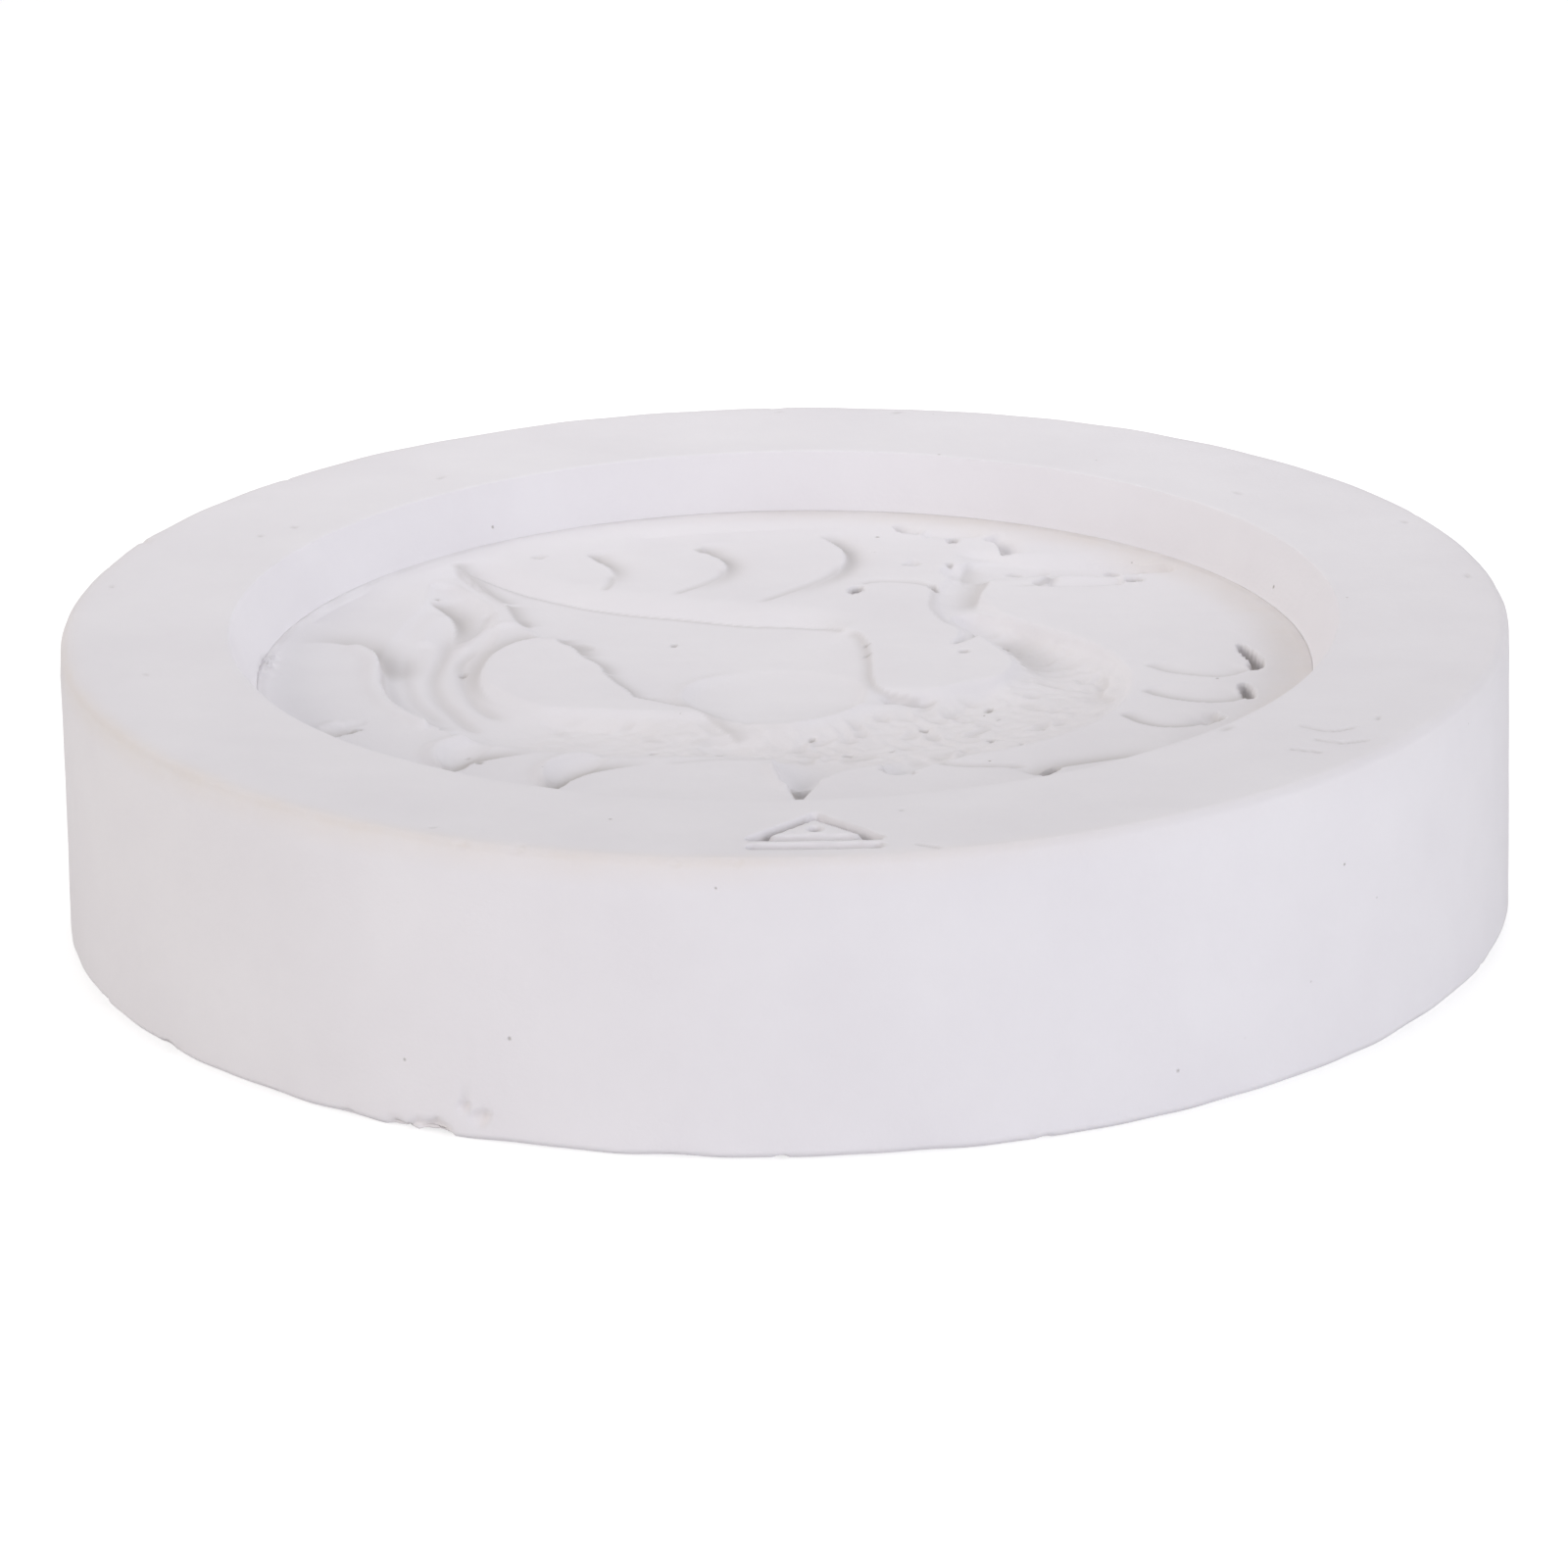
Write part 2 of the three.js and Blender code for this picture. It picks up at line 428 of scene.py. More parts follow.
    def pit(
        self,
        place: tuple[float, float],
        size: tuple[float, float],
        turn: float,
        depth: float,
        painted_shade: float = 0.0,
    ) -> None:
        """Digs an oval pit whose bottom is round: depth * (1 - r^2)^0.6 inside the oval.

        Args:
            place: Its middle.
            size: Its half length and half width in mm.
            turn: The angle of its length from +X, in degrees.
            depth: The depth in mm that it adds at its middle.
            painted_shade: The painted shade darkening it, from 0 to 1.
        """
        angle = math.radians(turn)
        at = self._around(np.asarray([place]), 1.2 * max(size))
        dx, dy = self.x[at] - place[0], self.y[at] - place[1]
        along = dx * math.cos(angle) + dy * math.sin(angle)
        across = dy * math.cos(angle) - dx * math.sin(angle)
        radius = np.hypot(along / size[0], across / size[1])
        bowl = np.clip(1.0 - radius**2, 0.0, 1.0) ** 0.6
        self.depth[at] += depth * bowl
        # Painted shade in the pit.
        self._paint_shade(at, painted_shade * bowl)

    def scales(self, knots: Knots, length: float, width: float, height: float) -> None:
        """Covers a limb with rows of worn scales, each row half a scale out of step with the last.

        A scale is a dimple, 1 - 3 * (u^2 + v^2), of its own length and width, steeper at its free end. Its
        depth is drawn from the sine of its row and place, and the rows wander a little.

        Args:
            knots: (x, y, half width) along the limb's middle.
            length: A scale's length along the limb in mm.
            width: A scale's width in mm.
            height: A scale's depth in mm.
        """
        line = flowing(knots)
        at = self._around(line, float(line[:, 2].max()))
        read = beside(self.x[at], self.y[at], line)
        share = np.abs(read.side) / np.maximum(read.half, 0.05)
        cover = 1.0 - smoothstep(0.7, 0.97, share)
        patch = cover * self._ends(read, (0.12, 0.14))
        where = np.column_stack([self.x[at], self.y[at]])
        row = read.along * read.length / length + 0.35 * unrest(where, 9.0, SEED + 20)
        across = read.side / width + 0.5 * (np.floor(row) % 2) + 0.3 * unrest(where, 8.0, SEED + 21)
        drawn = np.abs(np.sin(12.9898 * np.floor(row) + 78.233 * np.floor(across)) * 43758.5453) % 1.0
        u, v = row % 1.0 - 0.4, across % 1.0 - 0.5
        dome = np.clip(1.0 - 3.0 * (np.where(u > 0, 1.6, 0.9) * u**2 + v**2), 0.0, 1.0)
        self.depth[at] += height * (dome - 0.5) * (0.2 + 1.1 * drawn) * patch
        self.worked[at] = np.maximum(self.worked[at], patch)
        # Painted shade in the deeper scale dimples.
        self._paint_shade(at, 0.16 * patch * dome * smoothstep(0.45, 1.0, drawn))


# ------------------------------------------------------------------ the dragon's drawing


@dataclass(frozen=True)
class DragonDrawing:
    """A winged dragon sunk in a round field, all in millimetres.

    It walks towards +X: a near wing across the middle, the far wing behind it, a tufted tail at the left, a
    scaled body along the bottom, the neck and head at the upper right, and a clawed forefoot at the right.

    Attributes:
        wing_depth: The depth of the two wings.
        body_crown: The depth at the middle of the scaled body.
        loin_crown: The depth at the middle of the loin, between the body and the tail.
        tail_crown: The depth at the middle of the tail.
        claw_depth: The depth of the largest claw.
        scale_height: The depth of a scale.
        pinhole: The radius of an open air bubble.
        leading_edge: The line that parts the near wing from the far one.
        trailing_edge: The rest of the near wing's outline, one stretch for each scallop.
        body_line: The (x, y, half width) of the scaled body and neck.
        loin_line: The (x, y, half width) of the loin.
        tail_line: The (x, y, half width) of the tail.
    """

    wing_depth: float = 1.5
    body_crown: float = 2.3
    loin_crown: float = 1.3
    tail_crown: float = 1.2
    claw_depth: float = 2.5
    scale_height: float = 0.36
    pinhole: float = 0.5

    leading_edge: Knots = (
        (-47.0, 51.4), (-41.0, 43.6), (-36.0, 38.6), (-30.0, 34.4), (-25.0, 31.6), (-20.0, 29.6),
        (-15.0, 28.0), (-9.0, 25.8), (-4.0, 23.9), (1.0, 22.9), (6.0, 20.6), (9.0, 18.0),
    )
    trailing_edge: tuple[Knots, ...] = (
        ((9.0, 18.0), (10.9, 15.6), (11.9, 10.0), (12.2, 3.0), (12.3, -3.0), (13.6, -8.0), (20.5, -11.0)),
        ((20.5, -11.0), (6.0, -19.0), (-6.5, -26.0)),
        ((-6.5, -26.0), (-9.4, -21.4), (-12.4, -16.4), (-16.4, -13.0), (-20.8, -9.8)),
        ((-20.8, -9.8), (-22.0, -6.4), (-23.4, -3.4), (-25.2, 1.0)),
        ((-25.2, 1.0), (-25.8, 4.4), (-28.6, 9.2)),
        ((-28.6, 9.2), (-29.6, 12.6), (-32.0, 16.4)),
        ((-32.0, 16.4), (-34.6, 17.4), (-37.0, 22.8)),
        ((-37.0, 22.8), (-38.4, 27.4), (-39.4, 32.6)),
        ((-39.4, 32.6), (-42.4, 38.6), (-47.0, 51.4)),
    )
    body_line: Knots = (
        (26.0, 23.0, 2.6),
        (33.5, 13.0, 5.0),
        (38.6, 3.0, 7.0),
        (38.0, -8.0, 9.6),
        (31.0, -17.5, 12.6),
        (18.0, -25.0, 13.4),
        (4.0, -29.0, 9.6),
        (-8.0, -28.0, 5.0),
    )
    loin_line: Knots = ((8.0, -28.5, 8.5), (-8.0, -27.0, 8.4), (-24.0, -25.0, 9.4), (-38.0, -21.0, 8.0))
    tail_line: Knots = (
        (-34.0, -22.0, 7.0),
        (-43.0, -15.0, 8.0),
        (-48.6, -5.0, 8.0),
        (-49.0, 8.0, 7.4),
        (-47.0, 20.0, 7.0),
        (-46.0, 32.0, 5.0),
        (-48.0, 42.0, 2.5),
    )

    # Besides sinking the relief, the forms below paint shade: a grey laid in their creases, pits and bubbles
    # that stands in for the shade there.
    def far_wing(self, relief: Relief) -> None:
        """Sinks the far wing, which slopes down to the near wing and has three curled ribs.

        Args:
            relief: The relief that it is carved in.
        """
        relief.slope(self.leading_edge, Drop.RIGHT, self.wing_depth, 6.2, 5.0, fade=(0.06, 0.1))
        ribs = (
            (((-28.4, 54.2), (-26.6, 50.8), (-24.9, 47.8), (-24.2, 44.4), (-24.4, 40.6), (-25.4, 37.4)), 0.8),
            (((-12.2, 57.6), (-10.6, 53.8), (-8.8, 50.6), (-8.2, 47.0), (-9.4, 42.0), (-15.8, 34.4)), 0.9),
            (((5.0, 60.8), (7.2, 57.2), (8.7, 53.4), (8.6, 47.6), (5.6, 40.8), (-4.0, 30.2)), 1.1),
        )
        for rib, depth in ribs:
            relief.ledge(rib, Drop.LEFT, depth, 0.5, 3.2, fade=(0.08, 0.85), painted_shade=0.6, spread=2.1)
            relief.score(rib[3:], 0.25, 1.1, painted_shade=0.26)
        relief.pit((-11.4, 55.2), (1.7, 0.9), 130.0, 0.3, painted_shade=0.5)
        relief.ledge(((-36.4, 53.2), (-34.8, 52.2), (-33.2, 53.0)), Drop.LEFT, 0.7, 0.6, 1.6, painted_shade=0.4)
        relief.slope(((-24.0, 61.0), (-8.0, 64.4), (8.0, 64.2)), Drop.RIGHT, 0.4, 3.0, 6.0)

    def _wing_level(self, x: np.ndarray, y: np.ndarray, inner: np.ndarray) -> np.ndarray:
        """The near wing's depth: from its hem it drops quickly by 0.3 of it, then slowly by the rest.

        Args:
            x: The points' x in mm.
            y: The points' y in mm.
            inner: The distance inside the wing's outline in mm.

        Returns:
            The depth at each point in mm.
        """
        hem = np.vstack([flowing(stretch) for stretch in self.trailing_edge])
        away = np.abs(beside(x, y, hem).side)
        down = 0.3 * (1.0 - np.exp(-away / 0.6)) + 0.7 * (1.0 - np.exp(-away / 7.0))
        lead = 0.3 * np.exp(-((np.maximum(inner, 0.0) / 0.6) ** 2))
        return self.wing_depth * down + lead * smoothstep(0.7, 1.0, down)

    def near_wing(self, relief: Relief) -> None:
        """Sinks the near wing, whose trailing edge is scalloped, and the round haunch that shows through it.

        Args:
            relief: The relief that it is carved in.
        """
        relief.pool((self.leading_edge, *self.trailing_edge), self._wing_level, 0.7)
        # A step of no depth: it only paints shade along the leading edge.
        relief.ledge(self.leading_edge, Drop.RIGHT, 0.0, 1.0, 1.0, fade=(0.02, 0.02), painted_shade=0.42, spread=0.75)
        scallops = (
            (0, 1.2, 0.36),
            (2, 2.4, 0.3),
            (3, 1.6, 0.46),
            (4, 1.9, 0.46),
            (5, 2.4, 0.5),
            (7, 2.2, 0.46),
            (8, 2.0, 0.4),
        )
        for number, spread, painted_shade in scallops:
            hem = self.trailing_edge[number]
            relief.ledge(hem, Drop.RIGHT, 0.2, 0.4, spread, fade=(0.06, 0.06), painted_shade=painted_shade, spread=spread)
        relief.pit((-29.0, 14.6), (3.0, 1.8), -25.0, 0.3, painted_shade=0.42)
        relief.pit((-36.6, 25.4), (3.0, 1.3), 105.0, 0.2, painted_shade=0.4)
        relief.pit((-19.0, -9.6), (2.8, 1.3), -40.0, 0.2, painted_shade=0.42)
        haunch, haunch_radius, ring_radius = (-1.5, -8.6), 12.6, 12.9
        relief.pit(haunch, (haunch_radius, haunch_radius), 0.0, 0.5)
        turns = np.linspace(-4.4, 0.6, 15)
        ring = [
            (haunch[0] + ring_radius * math.cos(turn), haunch[1] + ring_radius * math.sin(turn))
            for turn in turns
        ]
        relief.score(ring, -0.5, 2.2)

    def body(self, relief: Relief) -> None:
        """Sinks the neck, the loin, the scaled body and the two hind legs, with the folds beside them.

        Args:
            relief: The relief that it is carved in.
        """
        neck = ((26.0, 40.0, 2.6), (24.6, 32.0, 3.2), (26.4, 23.0, 4.0), (31.0, 16.0, 4.0))
        relief.hollow(neck, 0.15, 0.8, 1.2, 0.7)
        relief.hollow(self.loin_line, 0.2, self.loin_crown, 1.4, 0.7)
        relief.hollow(self.body_line, 0.35, self.body_crown, 1.0, 0.7)
        relief.scales(self.body_line, 3.2, 2.9, self.scale_height)
        relief.scales(self.loin_line, 4.2, 3.4, 0.45 * self.scale_height)
        relief.hollow(((8.0, -33.0, 9.0), (3.6, -39.0, 5.6), (1.6, -46.0, 2.4)), 0.5, 2.1, 0.8, 1.0)
        relief.hollow(((19.0, -33.0, 7.0), (16.5, -38.0, 4.4), (15.0, -42.6, 1.8)), 0.4, 1.9, 0.8, 1.0)
        inner = ((28.4, 19.0), (30.4, 14.0), (32.0, 8.0), (33.4, 3.0), (34.6, -3.0))
        relief.ledge(inner, Drop.LEFT, 0.8, 1.8, 5.4, fade=(0.2, 0.5), painted_shade=0.27, spread=4.2)
        bank = ((12.8, -10.2), (17.0, -11.0), (21.4, -10.9))
        relief.slope(bank, Drop.RIGHT, 1.1, 3.4, 1.4, fade=(0.15, 0.3))
        relief.score(bank, 0.2, 0.9, painted_shade=0.3)
        chest = ((30.5, -5.0), (26.5, -9.0), (23.6, -14.0), (22.4, -18.0))
        relief.slope(chest, Drop.LEFT, 0.8, 4.0, 3.0, fade=(0.3, 0.4))
        relief.slope(((-34.0, -17.4), (-26.0, -19.6), (-17.0, -21.0)), Drop.RIGHT, 0.8, 4.6, 4.0)
        ruffle = ((44.2, 1.5), (44.8, -3.0), (44.0, -7.5), (45.4, -11.0), (44.8, -15.0))
        relief.ledge(ruffle, Drop.RIGHT, 0.7, 0.7, 3.0, painted_shade=0.25)
        belly = ((44.0, -23.0), (37.0, -29.0), (33.0, -31.2), (28.0, -33.2), (23.0, -35.2), (18.6, -38.0))
        relief.ledge(belly, Drop.RIGHT, 0.3, 0.5, 1.4, fade=(0.3, 0.1), painted_shade=0.4, spread=0.8)
        relief.score(((-1.0, -37.2), (-9.0, -36.4), (-17.0, -38.0)), 0.2, 1.2, painted_shade=0.12)
        relief.hollow(((25.8, 20.0, 1.8), (25.8, 15.6, 1.2), (23.8, 11.0, 0.3)), 0.3, 0.8, 0.6)
        nape = ((21.2, 37.6), (20.6, 32.0), (20.4, 27.0), (22.0, 21.0), (24.6, 17.0))
        relief.ledge(nape, Drop.LEFT, 0.3, 0.5, 2.2, fade=(0.1, 0.2), painted_shade=0.26, spread=1.0)
        relief.score(((26.6, 17.6), (26.6, 14.4), (24.0, 11.2)), 0.3, 0.9, painted_shade=0.4)

    def head(self, relief: Relief) -> None:
        """Sinks the head, with an open jaw, a brow, an eye, a nostril and two swept horns.

        Args:
            relief: The relief that it is carved in.
        """
        skull = (
            (25.5, 43.0, 3.0),
            (30.0, 43.6, 5.0),
            (38.0, 44.0, 3.4),
            (47.0, 43.6, 3.0),
            (54.0, 42.6, 1.8),
        )
        relief.hollow(skull, 0.2, 1.1, 0.8, 0.6, over=True)
        brow = ((24.0, 50.6), (29.0, 50.2), (34.0, 48.2), (41.0, 47.4), (48.0, 47.0), (54.0, 45.0))
        relief.slope(brow, Drop.RIGHT, 0.9, 2.6, 3.0, fade=(0.15, 0.15))
        jaw = ((37.4, 36.6), (42.0, 36.6), (48.4, 37.2))
        relief.slope(jaw, Drop.RIGHT, 1.5, 4.6, 0.5, fade=(0.06, 0.06))
        relief.score(((32.0, 35.6), (38.0, 36.0), (48.6, 36.6)), 0.15, 0.8, painted_shade=0.14)
        relief.score(((38.4, 41.8), (43.0, 41.6), (48.6, 40.8)), 0.25, 1.1, painted_shade=0.18)
        relief.ledge(((34.8, 36.6), (36.4, 38.6), (38.2, 41.8)), Drop.RIGHT, 1.1, 0.5, 1.5, painted_shade=0.5)
        throat = ((29.8, 42.0), (29.2, 37.0), (28.0, 32.0), (27.2, 26.0))
        relief.ledge(throat, Drop.RIGHT, 0.7, 0.8, 4.0, fade=(0.2, 0.3), painted_shade=0.36, spread=3.0)
        crown = ((26.6, 48.0), (25.2, 44.0), (25.0, 38.0))
        relief.ledge(crown, Drop.LEFT, 0.4, 0.6, 2.4, painted_shade=0.28, spread=2.6)
        cheek = ((38.6, 45.8), (36.6, 43.6), (35.0, 41.0), (33.0, 39.4))
        relief.ledge(cheek, Drop.RIGHT, 0.5, 0.5, 2.0, painted_shade=0.26)
        spots = (
            ((49.8, 38.0), (1.5, 1.0), 0.0, 1.3, 0.62),
            ((46.8, 44.4), (1.2, 0.8), 0.0, 0.7, 0.42),
            ((51.0, 43.6), (1.0, 0.9), 0.0, 0.7, 0.4),
            ((33.0, 44.6), (1.2, 0.8), 10.0, 0.6, 0.3),
            ((23.8, 46.2), (0.6, 0.9), 0.0, 0.6, 0.45),
            ((24.5, 57.6), (1.7, 0.9), 80.0, 1.2, 0.55),
        )
        for place, size, turn, depth, painted_shade in spots:
            relief.pit(place, size, turn, depth, painted_shade)
        horns = (
            (((15.8, 64.8), (16.8, 61.8), (19.8, 60.4)), 1.5, 0.6, 0.5),
            (((28.6, 57.6), (30.6, 55.2), (31.2, 50.4)), 2.4, 0.6, 0.62),
            (((16.8, 46.4), (18.2, 45.8), (20.0, 46.6)), 1.0, 0.6, 0.5),
        )
        for horn, depth, run, painted_shade in horns:
            relief.ledge(horn, Drop.LEFT, depth, run, 2.4, fade=(0.15, 0.15), painted_shade=painted_shade, spread=1.3)
        relief.slope(((19.6, 60.8), (25.0, 60.8), (30.0, 60.2)), Drop.RIGHT, 1.0, 3.4, 1.4)

    def tail(self, relief: Relief) -> None:
        """Sinks the tail with the grooves between its strands, and the curled tuft at its outer side.

        Args:
            relief: The relief that it is carved in.
        """
        relief.hollow(self.tail_line, 0.2, self.tail_crown, 1.2, 1.0)
        curl = (
            (-69.0, 14.6), (-66.0, 16.0), (-62.4, 15.4), (-59.4, 13.0), (-57.0, 9.4), (-56.2, 4.0),
            (-56.0, 0.0),
        )
        relief.ledge(curl, Drop.LEFT, 0.9, 2.2, 6.0, fade=(0.5, 0.3), painted_shade=0.5, spread=4.6)
        hook = (
            (-61.6, 15.2), (-58.8, 12.2), (-56.9, 9.0), (-56.2, 4.0), (-56.0, -1.0), (-55.4, -5.0),
            (-54.0, -11.0), (-52.0, -15.0), (-49.0, -19.5), (-46.4, -22.4),
        )
        relief.ledge(hook, Drop.LEFT, 0.8, 0.5, 2.6, fade=(0.1, 0.1), bank=0.95, painted_shade=0.46, spread=1.1)
        tuft = ((-50.4, 35.2), (-48.2, 32.0), (-46.8, 28.6), (-46.2, 24.0), (-46.6, 18.0), (-47.6, 12.0))
        relief.ledge(tuft, Drop.LEFT, 0.9, 0.8, 3.6, fade=(0.06, 0.75), painted_shade=0.6, spread=2.8)
        middle = ((-46.6, 24.0), (-47.4, 14.0), (-48.6, 4.0), (-48.0, -4.0), (-46.0, -11.0), (-41.0, -24.0))
        inner = ((-42.0, 16.0), (-44.8, 9.0), (-44.5, 3.0), (-43.8, -3.0), (-42.0, -10.0), (-38.0, -17.0))
        outer = ((-53.0, 16.0), (-52.8, 6.0), (-52.0, -2.0), (-50.4, -9.0), (-46.4, -18.0))
        tip = ((-41.4, 30.0), (-42.6, 24.0), (-45.0, 18.0))
        grooves = (
            (middle, 0.5, 2.2, 0.2),
            (inner, 0.45, 2.0, 0.2),
            (outer, 0.3, 2.0, 0.1),
            (tip, 0.3, 1.8, 0.16),
        )
        for groove, depth, width, painted_shade in grooves:
            relief.score(groove, depth, width, painted_shade)
        relief.score(((-36.6, 23.4), (-40.4, 22.0), (-43.4, 18.0), (-45.0, 13.0)), -0.5, 2.4)
        relief.score(((-47.6, 31.0), (-49.8, 24.0), (-50.4, 16.0)), -0.4, 3.0)
        oval = (
            (-32.0, 17.6), (-36.4, 15.8), (-39.6, 11.6), (-41.4, 6.0), (-42.0, -1.0), (-40.4, -8.0),
            (-36.6, -13.0),
        )
        relief.ledge(oval, Drop.RIGHT, 0.6, 0.8, 3.2, fade=(0.1, 0.5), painted_shade=0.36, spread=2.8)
        relief.slope(((-69.4, 24.0), (-64.0, 34.0), (-56.0, 43.0)), Drop.RIGHT, 0.8, 3.4, 6.0)

    def feet(self, relief: Relief) -> None:
        """Sinks the rounded hind toes, the forefoot's three curved toes and the low limb.

        Args:
            relief: The relief that it is carved in.
        """
        hind_toes = (
            ((-41.6, -28.4, 2.2), (-43.8, -32.0, 2.9), (-45.2, -36.6, 1.8), (-45.2, -39.4, 0.7)),
            ((-26.6, -35.4, 2.6), (-29.0, -39.4, 3.0), (-30.8, -44.0, 1.8), (-31.2, -47.6, 0.7)),
            ((-58.4, -18.8, 1.2), (-60.2, -20.8, 1.5), (-61.0, -23.6, 0.8)),
        )
        for toe, depth in zip(hind_toes, (0.5, 0.5, 0.3)):
            relief.hollow(toe, 0.1, depth, 0.8, 0.8)
        rims = (
            ((-45.2, -40.2), (-47.6, -35.4), (-47.2, -30.0), (-44.6, -27.2), (-41.4, -25.6)),
            ((-31.4, -48.2), (-32.8, -42.6), (-31.6, -37.8), (-28.4, -34.6), (-24.8, -33.0)),
            ((-62.2, -24.8), (-63.4, -21.6), (-60.6, -18.6)),
        )
        for rim, height in zip(rims, (0.75, 0.75, 0.5)):
            relief.score(rim, -height, 2.6)
        creases = (
            (((-45.4, -40.4), (-42.4, -37.0), (-38.4, -34.6), (-32.0, -32.6)), 0.62),
            (((-31.4, -48.6), (-28.6, -44.4), (-25.0, -41.2), (-17.0, -38.0)), 0.66),
            (((-61.4, -25.2), (-60.0, -23.2), (-57.8, -21.2)), 0.5),
        )
        for crease, painted_shade in creases:
            relief.ledge(crease, Drop.LEFT, 0.35, 0.5, 2.0, fade=(0.02, 0.6), painted_shade=painted_shade, spread=2.2)
        relief.pit((-30.6, -46.0), (2.4, 1.1), 60.0, 0.35, painted_shade=0.64)
        relief.pit((-44.2, -38.2), (2.0, 1.1), 50.0, 0.35, painted_shade=0.6)
        relief.pit((-59.2, -22.4), (1.4, 0.8), 40.0, 0.3, painted_shade=0.6)
        fore_toes = (
            (((49.6, -0.4), (52.6, -3.4), (57.0, -5.5), (61.0, -5.8), (64.4, -3.4)), 0.4),
            (((48.6, -11.4), (51.6, -14.4), (56.0, -16.6), (60.4, -16.8), (63.8, -15.0)), 0.6),
            (((45.2, -21.4), (47.8, -25.0), (51.2, -27.0), (55.0, -26.9), (58.4, -24.6)), 0.66),
        )
        for toe, painted_shade in fore_toes:
            relief.ledge(toe, Drop.LEFT, 0.4, 0.5, 4.2, fade=(0.04, 0.04), painted_shade=0.8 * painted_shade, spread=1.7)
        relief.ledge(((57.2, -27.0), (58.8, -24.4), (59.0, -20.4)), Drop.LEFT, 1.2, 0.7, 2.2, painted_shade=0.6)
        low_limb = ((33.4, -46.4), (36.6, -43.2), (41.4, -41.0), (46.0, -39.4), (51.0, -36.8))
        relief.ledge(low_limb, Drop.LEFT, 0.45, 0.8, 5.0, fade=(0.05, 0.4), painted_shade=0.5, spread=2.4)
        relief.score(((19.4, -38.6), (22.0, -40.6), (27.0, -41.4), (33.0, -41.4)), 0.4, 1.2, painted_shade=0.3)

    def claws(self, relief: Relief) -> None:
        """Digs the claws and the spur, the deepest points of the relief, and the small nicks beside them.

        Args:
            relief: The relief that it is carved in.
        """
        digs = (
            ((64.4, 3.4), (4.6, 0.95), 106.0, 1.0, 0.9),
            ((65.2, -1.0), (2.6, 1.1), 82.0, 0.7, 0.9),
            ((63.3, -12.4), (3.4, 0.95), 97.0, 0.9, 0.9),
            ((35.3, -44.2), (2.2, 0.9), 58.0, 0.7, 0.85),
            ((10.2, 35.4), (1.8, 1.0), 72.0, 0.8, 0.8),
            ((21.3, 36.0), (1.5, 0.6), 110.0, 0.3, 0.6),
            ((58.8, -24.0), (1.5, 0.8), 60.0, 0.2, 0.55),
        )
        for place, size, turn, share, painted_shade in digs:
            relief.pit(place, size, turn, share * self.claw_depth, painted_shade)
        left, tip, right = (-0.2, -45.8), (1.5, -54.8), (4.2, -46.6)
        relief.pool(((left, right), (right, tip), (tip, left)), self._spur_level, 0.8)
        # A step of no depth: it only paints shade round the spur's edge.
        relief.ledge((left, tip, right), Drop.LEFT, 0.0, 1.0, 1.0, fade=(0.1, 0.1), painted_shade=0.7, spread=2.4)
        relief.score(((-2.2, -38.6), (-1.4, -44.6), (0.2, -50.4)), -0.45, 2.0)
        relief.score(((10.6, 37.8), (13.0, 39.4), (18.0, 38.8), (21.2, 36.4)), 0.3, 1.2, painted_shade=0.2)
        for place in ((13.6, -42.6), (16.2, -43.6), (10.2, -37.8)):
            relief.pit(place, (1.4, 0.45), -20.0, 0.7, 0.6)

    def _spur_level(self, x: np.ndarray, y: np.ndarray, inner: np.ndarray) -> np.ndarray:
        """The spur's depth, which goes down quickly from its edge.

        Args:
            x: The points' x in mm; not used.
            y: The points' y in mm; not used.
            inner: The distance inside the spur's outline in mm.

        Returns:
            The depth at each point in mm.
        """
        return 1.1 + 1.1 * smoothstep(0.0, 1.4, inner)

    def pinholes(self, relief: Relief) -> None:
        """Pricks the open air bubbles that the casting left, mostly on the body and by the toes.

        Args:
            relief: The relief that they are pricked in.
        """
        places = (
            (-43.0, -33.5), (-41.4, -36.4), (-50.3, -37.0), (-46.8, -22.0), (-18.0, -31.0), (-4.0, -30.6),
            (-49.0, 37.0), (-15.4, 16.0), (25.0, 7.0), (33.0, 5.0), (31.0, 14.6), (28.0, -12.2),
            (29.2, -16.4), (35.0, -21.4), (28.0, -25.2), (32.0, -29.0), (24.0, -34.2), (18.8, -20.2),
            (11.6, 11.0), (11.6, 7.0), (-44.6, 4.6), (-58.0, -21.8), (3.6, -24.2), (8.4, -30.6),
            (14.4, -29.0), (-9.0, -33.0),
        )
        for number, place in enumerate(places):
            size = self.pinhole * (0.8 + 0.4 * (number % 3))
            # Each bubble is sunk 0.6 mm and painted with shade of 0.8.
            relief.pit(place, (size, 0.8 * size), 40.0 * number, 0.6, 0.8)

    def carve(self, relief: Relief) -> None:
        """Carves the whole dragon, from its furthest form to its nearest.

        Args:
            relief: The relief that it is carved in.
        """
        behind = (self.far_wing, self.tail, self.near_wing)
        before = (self.body, self.feet, self.head, self.claws, self.pinholes)
        for form in behind + before:
            form(relief)


# ------------------------------------------------------------------ meshes


